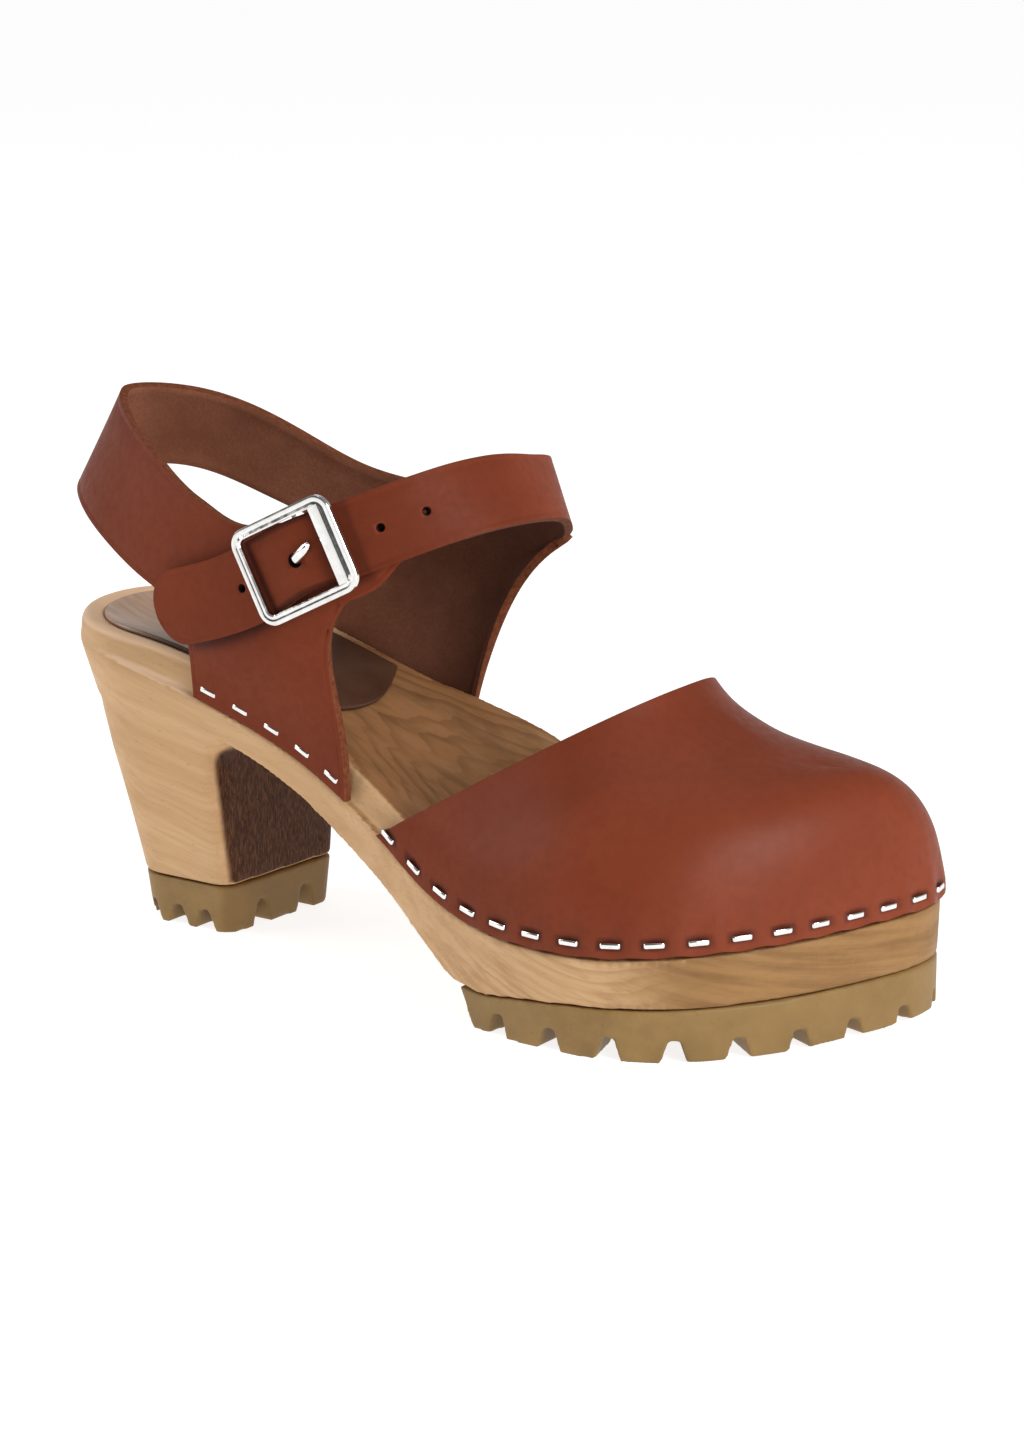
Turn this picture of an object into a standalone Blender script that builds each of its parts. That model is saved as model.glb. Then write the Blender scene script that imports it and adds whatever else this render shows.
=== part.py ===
"""Clog sandal for the right foot.

A carved wooden sole with a block heel carries a closed leather vamp and a second piece of
leather that makes both quarters, the heel strap and the buckled ankle strap. Rubber lugs are
glued under the forefoot and the heel, and wire staples hold the leather in the sole's rebate.
"""
import math

import bmesh
import bpy
import numpy as np

for old in list(bpy.data.objects):
    bpy.data.objects.remove(old, do_unlink=True)

# Lengths are millimetres until place() turns them into metres. x runs from the back of the
# heel seat to the toe, y from the middle of the heel seat to the inner side of the foot and
# z up from the floor.
MM = 0.001
BOX_MIDDLE_X = 117.4
BOX_MIDDLE_Y = -1.5

SOLE_LENGTH = 238.0
GAP = 0.3
LEDGE_GAP = 0.5
LEATHER = 2.2
LEATHER_PROUD = 0.4
VAMP_UPRIGHT = 6.0
VAMP_CLING_HEIGHT = 16.0
# The rebate's wall leans in, so that the rebate is this many times deeper at the top.
REBATE_TAPER = 1.45
FOOTBED_CURVE = 2.2
SPINE_BACK = 30.0
SPINE_FRONT = 208.0

RUBBER_BACK_TOP = 145.0
RUBBER_BACK_FLOOR = 149.5
TOE_SPRING = 1.5
TOE_SPRING_START = 205.0
LUG_DEPTH = 5.5
NOTCH_WIDTH_FLOOR = 7.0
NOTCH_WIDTH_TOP = 2.6
NOTCH_PITCH = 16.0
FIRST_NOTCH_X = 158.4
LAST_NOTCH_X = 162.0
LUG_LENGTH = 13.0
GROOVE_WIDTH = 4.5
GROOVE_DEPTH = 5.1
CROSS_GROOVE_DEPTH = 4.7
CROSS_GROOVES = (168.0, 184.0, 200.0)
# Cutters run this far past the faces that they open.
RUN_OUT = 3.0
BELOW_FLOOR = -1.0

SEAT_MIDDLE_X = 33.0
HEEL_CORNER = 4.5
HEEL_BREAST_SKEW = 0.07

SOCK_THICKNESS = 1.2
SOCK_INSET = 0.12
SOCK_SIDE_X = 78.0
SOCK_MIDDLE_X = 85.0

STAPLE_LENGTH = 4.6
STAPLE_HEIGHT = 1.2
STAPLE_THICKNESS = 0.7
STAPLE_ABOVE_LEDGE = 3.6
VAMP_STAPLE_CLEARANCE = 0.15
QUARTER_STAPLE_CLEARANCE = 0.6
VAMP_STAPLE_PITCH = 10.4
QUARTER_STAPLES = 5
STAPLE_MARGIN = 4.8

BUCKLE_HALF_LENGTH = 14.0
BUCKLE_HALF_HEIGHT = 11.4
BUCKLE_CORNER = 3.0
BUCKLE_WIRE_WIDTH = 2.6
BUCKLE_WIRE_THICKNESS = 1.8
BUCKLE_BAR_RADIUS = 0.9
# A corner of an eight-sided section stands this share of its width from its middle.
OCTAGON_REACH = 0.54
STUD_RADIUS = 1.5
STUD_LENGTH = 9.0
STUD_HOLE_RADIUS = 1.9
HOLE_RADIUS = 1.3
HOLE_PLACES = (-34.5, -23.0, -11.5, 0.0, 19.0)
BAR_SLOT_HALF_LENGTH = 1.6
BAR_SLOT_LOW = -13.4
BAR_SLOT_HIGH = -10.1
THROUGH_ONE = 2.2
THROUGH_BOTH = 9.0

# Outer edge of the wood, seen from above.
OUTLINE_COLUMNS = ("x", "lateral", "medial")
OUTLINE = (
    (0.0, 0.0, 0.0),
    (3.0, -14.4, 13.5),
    (8.0, -22.2, 20.9),
    (20.0, -30.5, 29.0),
    (33.0, -32.5, 31.5),
    (50.0, -32.0, 31.0),
    (75.0, -31.2, 30.2),
    (100.0, -33.2, 33.0),
    (125.0, -40.2, 38.6),
    (150.0, -47.6, 43.4),
    (170.0, -50.7, 46.0),
    (187.0, -49.6, 47.6),
    (206.0, -41.0, 47.4),
    (216.0, -31.0, 45.8),
    (226.0, -15.5, 42.0),
    (233.0, 1.5, 36.4),
    (238.0, 22.0, 22.0),
)

# Heights along the sole: the rebate's ledge, the rim above it, the hollow of the footbed below
# the rim, the underside of the wood, how far its sides lean in for each millimetre of drop, the
# rebate's depth, the rounding of the rim and how far the inner rim rises beside the arch.
PROFILE_COLUMNS = ("x", "ledge", "rim", "hollow", "under", "lean", "rebate", "round", "arch")
PROFILE = (
    (0.0, 75.2, 6.3, 4.0, 60.0, 0.30, 0.2, 2.6, 0.0),
    (20.0, 73.2, 6.7, 4.6, 59.5, 0.30, 0.8, 2.6, 0.0),
    (40.0, 69.4, 7.8, 4.6, 58.0, 0.30, 1.8, 2.0, 0.0),
    (52.0, 66.3, 8.0, 4.2, 56.2, 0.28, 2.2, 1.5, 0.0),
    (60.0, 63.9, 8.2, 3.8, 54.8, 0.24, 2.2, 1.3, 0.0),
    (70.0, 60.6, 8.5, 3.2, 51.8, 0.18, 2.2, 1.3, 0.0),
    (85.0, 55.0, 8.5, 2.4, 45.0, 0.14, 2.2, 1.3, 0.6),
    (100.0, 48.0, 8.5, 2.0, 36.0, 0.13, 2.2, 1.3, 3.4),
    (118.0, 39.4, 8.5, 2.0, 26.0, 0.12, 2.2, 1.3, 5.0),
    (134.0, 31.4, 8.5, 2.4, 15.0, 0.12, 2.2, 1.3, 3.4),
    (142.0, 28.6, 8.5, 2.6, 10.2, 0.12, 2.2, 1.3, 2.0),
    (152.0, 26.4, 8.5, 2.8, 9.2, 0.12, 2.2, 1.3, 0.8),
    (165.0, 25.1, 8.5, 3.0, 10.8, 0.12, 2.2, 1.3, 0.0),
    (180.0, 24.8, 8.5, 3.0, 12.2, 0.12, 2.2, 1.3, 0.0),
    (205.0, 26.2, 8.5, 2.6, 13.2, 0.09, 2.2, 1.3, 0.0),
    (238.0, 28.6, 8.5, 1.6, 14.5, 0.03, 2.2, 1.3, 0.0),
)

# Level sections of the block heel and of its rubber: z, back, breast, half_width
HEEL = (
    (13.0, 19.8, 57.0, 21.8),
    (24.0, 15.8, 56.7, 23.2),
    (36.0, 11.4, 56.5, 24.9),
    (46.0, 7.9, 56.7, 26.6),
    (50.0, 6.9, 57.6, 27.2),
    (53.0, 6.1, 60.2, 27.8),
    (55.5, 5.5, 65.0, 28.2),
    (60.2, 4.5, 68.0, 28.5),
    (66.0, 7.0, 50.0, 26.0),
)
HEEL_RUBBER = (
    (0.0, 22.4, 56.4, 20.4),
    (12.7, 20.0, 57.0, 21.7),
)
HEEL_SIDE_NOTCHES = (29.0, 38.0, 47.0)
HEEL_FRONT_NOTCHES = (-7.5, 9.5)
HEEL_NOTCH_LENGTH = 7.0
HEEL_FRONT_NOTCH_DEPTH = 7.0

# Sections of the vamp from the throat to the toe: where the section leaves the ledge on each
# side, its top on the spine, its fullness and how far it fans out round the toe.
VAMP_COLUMNS = ("lateral_x", "medial_x", "top_x", "top_y", "top_z", "fullness", "fan")
VAMP = (
    (116.0, 127.0, 180.0, 5.5, 80.0, 2.60, 0.0),
    (138.0, 146.0, 186.8, 5.5, 74.9, 2.60, 0.2),
    (158.0, 163.0, 193.6, 6.0, 71.0, 2.60, 0.4),
    (176.0, 179.0, 200.0, 6.5, 68.0, 2.55, 0.6),
    (192.0, 194.0, 205.0, 7.0, 66.3, 2.50, 0.8),
    (206.0, 208.0, 209.0, 7.5, 65.2, 2.45, 1.0),
    (219.0, 221.0, 212.0, 8.0, 64.4, 2.40, 1.0),
    (230.0, 231.5, 214.0, 9.0, 63.8, 2.40, 1.0),
    (238.0, 238.0, 216.0, 10.0, 63.4, 2.40, 1.0),
)

# The long strap, along its middle: from its hidden end under the buckle back along the outer
# side, round the heel, forward along the inner side, over the instep and back through the
# buckle to its tip. Lean is how far its top edge tips towards the ankle, in degrees.
STRAP_COLUMNS = ("x", "y", "z", "width", "lean")
STRAP = (
    (120.8, -26.2, 115.4, 5.0, 12.0),
    (115.8, -30.3, 112.4, 12.0, 9.0),
    (109.0, -34.0, 109.4, 21.0, 6.0),
    (95.0, -37.4, 106.6, 22.5, 2.0),
    (77.0, -38.0, 103.6, 21.5, 2.0),
    (56.0, -36.0, 105.8, 27.0, 6.0),
    (33.0, -28.5, 114.4, 28.4, 15.0),
    (13.0, -16.0, 121.5, 27.6, 24.0),
    (2.6, 0.0, 125.2, 26.5, 27.0),
    (13.0, 16.0, 125.0, 24.0, 24.0),
    (33.0, 28.5, 116.8, 22.0, 14.0),
    (56.0, 35.6, 106.6, 19.6, 6.0),
    (77.0, 37.8, 103.0, 20.0, 2.0),
    (95.0, 38.4, 103.6, 19.6, 3.0),
    (112.0, 36.4, 108.4, 18.6, 9.0),
    (124.6, 28.8, 116.0, 19.5, 16.0),
    (130.8, 12.0, 121.2, 19.4, 32.0),
    (130.4, -8.0, 123.4, 20.2, 31.0),
    (122.6, -26.6, 120.6, 20.2, 15.0),
    (110.0, -36.3, 115.2, 19.5, 6.0),
    (95.0, -40.2, 108.6, 19.5, 2.0),
    (77.0, -41.0, 98.8, 19.5, 0.0),
    (49.0, -39.2, 89.6, 19.5, -5.0),
)
STRAP_COLUMNS_PER_ROW = 5
STRAP_TIP_LENGTH = 9.0
STRAP_TIP_ROUND = 0.96
BUCKLE_ROW = 20
UNDER_BUCKLE_ROW = 3

# The quarters hang from the strap's lower edge between two of its rows and stand on the ledge.
# Waist is the most that each end is drawn in, and WAIST_SCALE makes its curve's peak one.
# side, first_row, last_row, base_first_x, base_last_x, flare, waist
WAIST_SCALE = 9.48
QUARTERS = (
    (-1, 2.4, 5.2, 103.5, 54.0, 3.0, 3.6),
    (1, 10.8, 14.6, 52.0, 96.0, 1.6, 2.6),
)


def column(table, names, name):
    """Return one named column of a table."""
    return np.array([row[names.index(name)] for row in table], float)


def smooth(xs, ys):
    """Return a curve through the points that rises and falls only where they do."""
    steps = np.diff(xs)
    slopes = np.diff(ys) / steps
    tangents = np.concatenate(([slopes[0]], np.zeros(len(xs) - 2), [slopes[-1]]))
    for i in range(1, len(xs) - 1):
        if slopes[i - 1] * slopes[i] > 0.0:
            before = 2.0 * steps[i] + steps[i - 1]
            after = steps[i] + 2.0 * steps[i - 1]
            tangents[i] = (before + after) / (before / slopes[i - 1] + after / slopes[i])

    def at(x):
        i = int(np.clip(np.searchsorted(xs, x) - 1, 0, len(xs) - 2))
        t = (min(max(x, xs[0]), xs[-1]) - xs[i]) / steps[i]
        rise = (3.0 - 2.0 * t) * t * t
        bend = steps[i] * t * (1.0 - t)
        return ys[i] * (1.0 - rise) + ys[i + 1] * rise + bend * (
            tangents[i] * (1.0 - t) - tangents[i + 1] * t)

    return at


def spline(ts, values):
    """Return a natural cubic spline and its derivative through rows of values."""
    ts = np.asarray(ts, float)
    values = np.asarray(values, float)
    steps = np.diff(ts)
    count = len(ts)
    matrix = np.eye(count)
    target = np.zeros_like(values)
    for i in range(1, count - 1):
        matrix[i, i - 1] = steps[i - 1]
        matrix[i, i] = 2.0 * (steps[i - 1] + steps[i])
        matrix[i, i + 1] = steps[i]
        rise_after = (values[i + 1] - values[i]) / steps[i]
        rise_before = (values[i] - values[i - 1]) / steps[i - 1]
        target[i] = 6.0 * (rise_after - rise_before)
    bends = np.linalg.solve(matrix, target)

    def at(t):
        i = int(np.clip(np.searchsorted(ts, t) - 1, 0, count - 2))
        h = steps[i]
        a = (ts[i + 1] - t) / h
        b = (t - ts[i]) / h
        value = a * values[i] + b * values[i + 1]
        value = value + ((a ** 3 - a) * bends[i] + (b ** 3 - b) * bends[i + 1]) * h * h / 6.0
        slope = (values[i + 1] - values[i]) / h
        slope = slope + ((3 * b * b - 1) * bends[i + 1] - (3 * a * a - 1) * bends[i]) * h / 6.0
        return value, slope

    return at


def place(point):
    """Turn a point in millimetres into metres about the middle of the shoe's box."""
    return ((point[0] - BOX_MIDDLE_X) * MM, (point[1] - BOX_MIDDLE_Y) * MM, point[2] * MM)


def principled(name, colour, roughness, metallic=0.0):
    """Return a Principled material."""
    material = bpy.data.materials.new(name)
    material.use_nodes = True
    shader = material.node_tree.nodes["Principled BSDF"]
    shader.inputs["Base Color"].default_value = (*colour, 1.0)
    shader.inputs["Roughness"].default_value = roughness
    shader.inputs["Metallic"].default_value = metallic
    return material


def add_object(name, points, faces, closed=True):
    """Make a mesh object from points in millimetres, merged where they meet."""
    mesh = bpy.data.meshes.new(name)
    mesh.from_pydata([place(point) for point in points], [], faces)
    work = bmesh.new()
    work.from_mesh(mesh)
    bmesh.ops.remove_doubles(work, verts=work.verts, dist=0.002 * MM)
    bmesh.ops.dissolve_degenerate(work, edges=work.edges, dist=0.001 * MM)
    if closed:
        bmesh.ops.recalc_face_normals(work, faces=work.faces)
    work.to_mesh(mesh)
    work.free()
    mesh.shade_smooth()
    mesh.set_sharp_from_angle(angle=math.radians(35.0))
    thing = bpy.data.objects.new(name, mesh)
    bpy.context.scene.collection.objects.link(thing)
    return thing


def as_cutter(thing):
    """Hide an object that only shapes another."""
    thing.hide_render = True
    thing.display_type = "WIRE"
    return thing


def combine(thing, other, operation, overlapping=False):
    """Add an exact Boolean to an object."""
    modifier = thing.modifiers.new(other.name, "BOOLEAN")
    modifier.operation = operation
    modifier.solver = "EXACT"
    modifier.use_self = overlapping
    modifier.object = as_cutter(other)


def thicken(thing, thickness, offset):
    """Give an open sheet its thickness."""
    modifier = thing.modifiers.new("thickness", "SOLIDIFY")
    modifier.thickness = thickness * MM
    modifier.offset = offset
    modifier.use_even_offset = True


def ring_faces(rings, around):
    """Return quads between closed rings that follow each other."""
    faces = []
    for r in range(rings - 1):
        for i in range(around):
            j = (i + 1) % around
            faces.append((r * around + i, r * around + j, (r + 1) * around + j, (r + 1) * around + i))
    return faces


def sheet_faces(rows, columns, start=0):
    """Return quads of an open sheet of points."""
    faces = []
    for r in range(rows - 1):
        for c in range(columns - 1):
            a = start + r * columns + c
            faces.append((a, a + 1, a + columns + 1, a + columns))
    return faces


def angle_at(x):
    """Return the outline's angle at a length, zero at the heel and pi at the toe."""
    return math.acos(1.0 - 2.0 * min(max(x / SOLE_LENGTH, 0.0), 1.0))


outline_x = column(OUTLINE, OUTLINE_COLUMNS, "x")
outline_angles = [angle_at(x) for x in outline_x]
outline_curves = {
    -1: spline(outline_angles, column(OUTLINE, OUTLINE_COLUMNS, "lateral")[:, None]),
    1: spline(outline_angles, column(OUTLINE, OUTLINE_COLUMNS, "medial")[:, None]),
}
profile_x = column(PROFILE, PROFILE_COLUMNS, "x")
profile = {
    name: smooth(profile_x, column(PROFILE, PROFILE_COLUMNS, name)) for name in PROFILE_COLUMNS[1:]
}


def edge(angle, side, inset=0.0):
    """Return a point of the outline, moved in along its normal."""
    y, y_slope = outline_curves[side](angle)
    x = 0.5 * SOLE_LENGTH * (1.0 - math.cos(angle))
    x_slope = 0.5 * SOLE_LENGTH * math.sin(angle)
    normal = np.array([y_slope[0], -x_slope]) * -side
    normal = normal / np.linalg.norm(normal)
    return np.array([x, y[0]]) - inset * normal


def outward(angle, side):
    """Return the outline's outward direction."""
    return edge(angle, side) - edge(angle, side, 1.0)


def spine(angle):
    """Return the middle line that the sole's sections run to."""
    x = min(max(0.5 * SOLE_LENGTH * (1.0 - math.cos(angle)), SPINE_BACK), SPINE_FRONT)
    at = angle_at(x)
    return 0.5 * (edge(at, -1) + edge(at, 1))


def loop_angles(count):
    """Return the stations round the whole outline as angle and side."""
    stations = [(math.pi * i / count, -1) for i in range(count + 1)]
    stations += [(math.pi * i / count, 1) for i in range(count - 1, 0, -1)]
    return stations


def rim_height(x, side):
    """Return the height of the rim, which rises on the inner side beside the arch."""
    height = profile["ledge"](x) + profile["rim"](x)
    return height + profile["arch"](x) if side > 0 else height


def footbed(angle, side, share, lift=0.0):
    """Return a point of the footbed, share 0 at the rim and 1 on the spine."""
    x = edge(angle, side)[0]
    rim = edge(angle, side, REBATE_TAPER * profile["rebate"](x) + profile["round"](x))
    rim_z = rim_height(x, side)
    middle = spine(angle)
    bed_z = profile["ledge"](middle[0]) + profile["rim"](middle[0]) - profile["hollow"](middle[0])
    sink = 1.0 - (1.0 - share) ** FOOTBED_CURVE
    plan = rim + (middle - rim) * share
    return (plan[0], plan[1], rim_z + (bed_z - rim_z) * sink + lift)


def sole_section(angle, side):
    """Return one section of the wood from the spine below to the spine above."""
    x = edge(angle, side)[0]
    ledge = profile["ledge"](x)
    rim = rim_height(x, side)
    lean = profile["lean"](x) * (ledge - profile["under"](x))
    depth = profile["rebate"](x)
    radius = profile["round"](x)
    low = edge(angle, side, lean)
    middle = spine(angle)
    section = []
    for share in (1.0, 0.5, 0.0):
        plan = low + (middle - low) * share
        section.append((plan[0], plan[1], profile["under"](plan[0])))
    section.append((*edge(angle, side), ledge))
    section.append((*edge(angle, side, depth), ledge))
    for turn in (0.0, 0.25 * math.pi):
        inset = REBATE_TAPER * depth + radius * (1.0 - math.cos(turn))
        section.append((*edge(angle, side, inset), rim - radius + radius * math.sin(turn)))
    for share in (0.0, 0.12, 0.28, 0.5, 0.75, 1.0):
        section.append(footbed(angle, side, share))
    return section


def heel_section(back, breast, half_width, z):
    """Return a level section of the heel: round behind, straight sides, rounded front corners."""
    points = []
    for i in range(17):
        turn = math.pi * (0.5 + i / 16.0)
        points.append((SEAT_MIDDLE_X + (SEAT_MIDDLE_X - back) * math.cos(turn),
                       half_width * math.sin(turn), z))
    for side in (-1, 1):
        for i in range(5):
            turn = 0.5 * math.pi * (i / 4.0 if side < 0 else 1.0 - i / 4.0)
            y = side * (half_width - HEEL_CORNER + HEEL_CORNER * math.cos(turn))
            x = breast + HEEL_BREAST_SKEW * y - HEEL_CORNER + HEEL_CORNER * math.sin(turn)
            points.append((x, y, z))
    return points


def stacked(name, table):
    """Make a solid from level sections of the heel."""
    points = []
    for z, back, breast, half_width in table:
        points += heel_section(back, breast, half_width, z)
    around = len(points) // len(table)
    faces = ring_faces(len(table), around)
    faces.append(tuple(range(around)))
    faces.append(tuple(range((len(table) - 1) * around, len(table) * around)))
    return add_object(name, points, faces)


def make_wood_sole():
    """Carve the sole: footbed, rebate, shank and block heel."""
    stations = loop_angles(44)
    sections = [sole_section(angle, side) for angle, side in stations]
    layers = len(sections[0])
    points = [sections[i][layer] for layer in range(layers) for i in range(len(stations))]
    sole = add_object("wood_sole", points, ring_faces(layers, len(stations)))
    combine(sole, stacked("heel_block_tool", HEEL), "UNION")
    return sole


def spring(x):
    """Return how far the forefoot's rubber is lifted towards the toe."""
    share = max(0.0, (x - TOE_SPRING_START) / (SOLE_LENGTH - TOE_SPRING_START))
    return TOE_SPRING * share * share


def rubber_edge(angle, side, inset=0.0):
    """Return the edge of the wood's underside, which the rubber follows."""
    x = edge(angle, side)[0]
    lean = profile["lean"](x) * (profile["ledge"](x) - profile["under"](x))
    return edge(angle, side, lean + inset)


def prism(points_low, points_high):
    """Return the points and faces of a solid between two loops of the same length."""
    count = len(points_low)
    faces = ring_faces(2, count)
    faces.append(tuple(range(count)))
    faces.append(tuple(range(count, 2 * count)))
    return list(points_low) + list(points_high), faces


def merge_prisms(name, prisms):
    """Make one cutter from prisms that stand apart."""
    points = []
    faces = []
    for prism_points, prism_faces in prisms:
        start = len(points)
        points += prism_points
        faces += [tuple(start + i for i in face) for face in prism_faces]
    return as_cutter(add_object(name, points, faces))


def notch(at, inward, length, depth=LUG_DEPTH):
    """Return a tapered notch that runs in from the side of the rubber."""
    along = np.array([-inward[1], inward[0]])
    loops = []
    for z, width in ((BELOW_FLOOR, NOTCH_WIDTH_FLOOR), (depth, NOTCH_WIDTH_TOP)):
        corners = []
        for reach, half in ((-RUN_OUT, 0.5), (length, 0.5), (length, -0.5), (-RUN_OUT, -0.5)):
            plan = at + inward * reach + along * half * width
            corners.append((plan[0], plan[1], z))
        loops.append(corners)
    return prism(*loops)


def toe_stations():
    """Return the stations of the side notches, stepped along the forefoot's edge."""
    first = angle_at(FIRST_NOTCH_X)
    path = [(first + (math.pi - first) * i / 300.0, -1) for i in range(301)]
    last = angle_at(LAST_NOTCH_X)
    path += [(math.pi + (last - math.pi) * i / 300.0, 1) for i in range(1, 301)]
    stations = [path[0]]
    walked = 0.0
    for before, after in zip(path, path[1:]):
        walked += np.linalg.norm(rubber_edge(*after) - rubber_edge(*before))
        if walked >= NOTCH_PITCH:
            stations.append(after)
            walked -= NOTCH_PITCH
    return stations


def make_forefoot_outsole():
    """Make the forefoot's rubber with side lugs, a groove inside them and cross grooves."""
    count = 30
    points = []
    for back, on_floor in ((RUBBER_BACK_FLOOR, True), (RUBBER_BACK_TOP, False)):
        start = angle_at(back)
        for i in range(count + 1):
            angle = start + (math.pi - start) * i / count
            for side in (-1, 1):
                plan = rubber_edge(angle, side)
                z = spring(plan[0]) if on_floor else profile["under"](plan[0]) - GAP
                points.append((plan[0], plan[1], z))
    layer = 2 * (count + 1)
    faces = [(0, 1, layer + 1, layer)]
    for i in range(count):
        a = 2 * i
        faces.append((a, a + 1, a + 3, a + 2))
        faces.append((layer + a, layer + a + 1, layer + a + 3, layer + a + 2))
        faces.append((a, a + 2, layer + a + 2, layer + a))
        faces.append((a + 1, a + 3, layer + a + 3, layer + a + 1))
    sole = add_object("forefoot_outsole", points, faces)

    notches = []
    for angle, side in toe_stations():
        notches.append(notch(rubber_edge(angle, side), -outward(angle, side), LUG_LENGTH + 1.0))
    combine(sole, merge_prisms("lug_notch_tool", notches), "DIFFERENCE", overlapping=True)

    start = angle_at(RUBBER_BACK_TOP - 4.0 * RUN_OUT)
    stations = [(start + (math.pi - start) * i / 16.0, -1) for i in range(17)]
    stations += [(start + (math.pi - start) * i / 16.0, 1) for i in range(15, -1, -1)]
    points = []
    for angle, side in stations:
        for inset, z in ((LUG_LENGTH, BELOW_FLOOR), (LUG_LENGTH + GROOVE_WIDTH, BELOW_FLOOR),
                         (LUG_LENGTH + GROOVE_WIDTH, GROOVE_DEPTH), (LUG_LENGTH, GROOVE_DEPTH)):
            points.append((*rubber_edge(angle, side, inset), z))
    faces = ring_faces(len(stations), 4)
    faces += [(0, 1, 2, 3), tuple(range(4 * len(stations) - 4, 4 * len(stations)))]
    combine(sole, add_object("lug_groove_tool", points, faces), "DIFFERENCE")

    bars = []
    for x in CROSS_GROOVES:
        lateral = rubber_edge(angle_at(x), -1, LUG_LENGTH + 1.5)
        medial = rubber_edge(angle_at(x), 1, LUG_LENGTH + 1.5)
        loops = []
        for z, half in ((BELOW_FLOOR, 0.5 * NOTCH_WIDTH_FLOOR), (CROSS_GROOVE_DEPTH, 0.5 * NOTCH_WIDTH_TOP)):
            loops.append([(x - half, lateral[1], z), (x + half, lateral[1], z),
                          (x + half, medial[1], z), (x - half, medial[1], z)])
        bars.append(prism(*loops))
    combine(sole, merge_prisms("cross_groove_tool", bars), "DIFFERENCE")
    return sole


def make_heel_top_piece():
    """Make the heel's rubber with lugs round its edge."""
    piece = stacked("heel_top_piece", HEEL_RUBBER)
    half_width = HEEL_RUBBER[0][3]
    notches = []
    for x in HEEL_SIDE_NOTCHES:
        for side in (-1.0, 1.0):
            at = np.array([x, side * half_width])
            notches.append(notch(at, np.array([0.0, -side]), HEEL_NOTCH_LENGTH))
    for y in HEEL_FRONT_NOTCHES:
        at = np.array([HEEL_RUBBER[0][2], y])
        notches.append(notch(at, np.array([-1.0, 0.0]), HEEL_NOTCH_LENGTH, HEEL_FRONT_NOTCH_DEPTH))
    combine(piece, merge_prisms("heel_notch_tool", notches), "DIFFERENCE")
    return piece


def vamp_curves():
    """Return the vamp's columns as curves over its rows."""
    rows = np.arange(len(VAMP), dtype=float)
    curves = {}
    for name in VAMP_COLUMNS:
        values = column(VAMP, VAMP_COLUMNS, name)
        if name.endswith("al_x"):
            values = np.array([angle_at(x) for x in values])
        curves[name] = smooth(rows, values)
    return curves


vamp_at = vamp_curves()


def vamp_point(row, side, share):
    """Return a point of the vamp's outer face, share 0 on the ledge and 1 on the spine."""
    angle = vamp_at["lateral_x" if side < 0 else "medial_x"](row)
    foot = edge(angle, side, -LEATHER_PROUD)
    foot_z = profile["ledge"](edge(angle, side)[0]) + LEDGE_GAP
    power = vamp_at["fullness"](row)
    rise = math.sin(0.5 * math.pi * share) ** (2.0 / power)
    draw_in = 1.0 - math.cos(0.5 * math.pi * share) ** (2.0 / power)
    fan = vamp_at["fan"](row)
    reach = vamp_at["top_x"](row) - foot[0]
    forward = reach * rise * (1.0 - fan)
    x = foot[0] + forward + reach * draw_in * fan
    y = foot[1] + (vamp_at["top_y"](row) - foot[1]) * draw_in
    z = foot_z + (vamp_at["top_z"](row) - foot_z) * rise
    height = max(z - profile["ledge"](x) - VAMP_UPRIGHT, 0.0) / VAMP_CLING_HEIGHT
    cling = math.exp(-height * height)
    y += cling * (edge(angle_at(foot[0] + forward), side)[1] - edge(angle_at(foot[0]), side)[1])
    return (x, y, z)


def make_vamp():
    """Make the leather over the toe as a sheet of sections with real thickness."""
    rows = 26
    half = 11
    points = []
    for r in range(rows):
        row = (len(VAMP) - 1.0) * r / (rows - 1.0)
        for c in range(half + 1):
            points.append(vamp_point(row, -1, c / half))
        for c in range(half - 1, -1, -1):
            points.append(vamp_point(row, 1, c / half))
    faces = [face[::-1] for face in sheet_faces(rows, 2 * half + 1)]
    vamp = add_object("vamp", points, faces, closed=False)
    thicken(vamp, LEATHER, -1.0)
    return vamp


strap_points = np.stack([column(STRAP, STRAP_COLUMNS, name) for name in ("x", "y", "z")], axis=1)
strap_steps = np.linalg.norm(np.diff(strap_points, axis=0), axis=1)
strap_knots = np.concatenate(([0.0], np.cumsum(strap_steps)))
strap_line = spline(strap_knots, strap_points)
strap_width = smooth(strap_knots, column(STRAP, STRAP_COLUMNS, "width"))
strap_lean = smooth(strap_knots, column(STRAP, STRAP_COLUMNS, "lean"))


def strap_length_at(row):
    """Return the length along the strap at a row of its table."""
    return float(np.interp(row, np.arange(len(STRAP)), strap_knots))


def strap_frame(length):
    """Return the strap's middle, its direction, its face's direction and its upward direction."""
    middle, slope = strap_line(length)
    along = slope / np.linalg.norm(slope)
    face = np.cross((0.0, 0.0, 1.0), along)
    face = face / np.linalg.norm(face)
    up = np.cross(along, face)
    lean = math.radians(strap_lean(length))
    leaned_up = up * math.cos(lean) - face * math.sin(lean)
    leaned_face = face * math.cos(lean) + up * math.sin(lean)
    return middle, along, leaned_face, leaned_up


def strap_half_width(length):
    """Return half the strap's width, rounded off at its tip."""
    half = 0.5 * strap_width(length)
    over = (length - (strap_knots[-1] - STRAP_TIP_LENGTH)) / STRAP_TIP_LENGTH
    if over > 0.0:
        half = half * math.sqrt(max(1.0 - STRAP_TIP_ROUND * over * over, 0.0))
    return half


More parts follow.
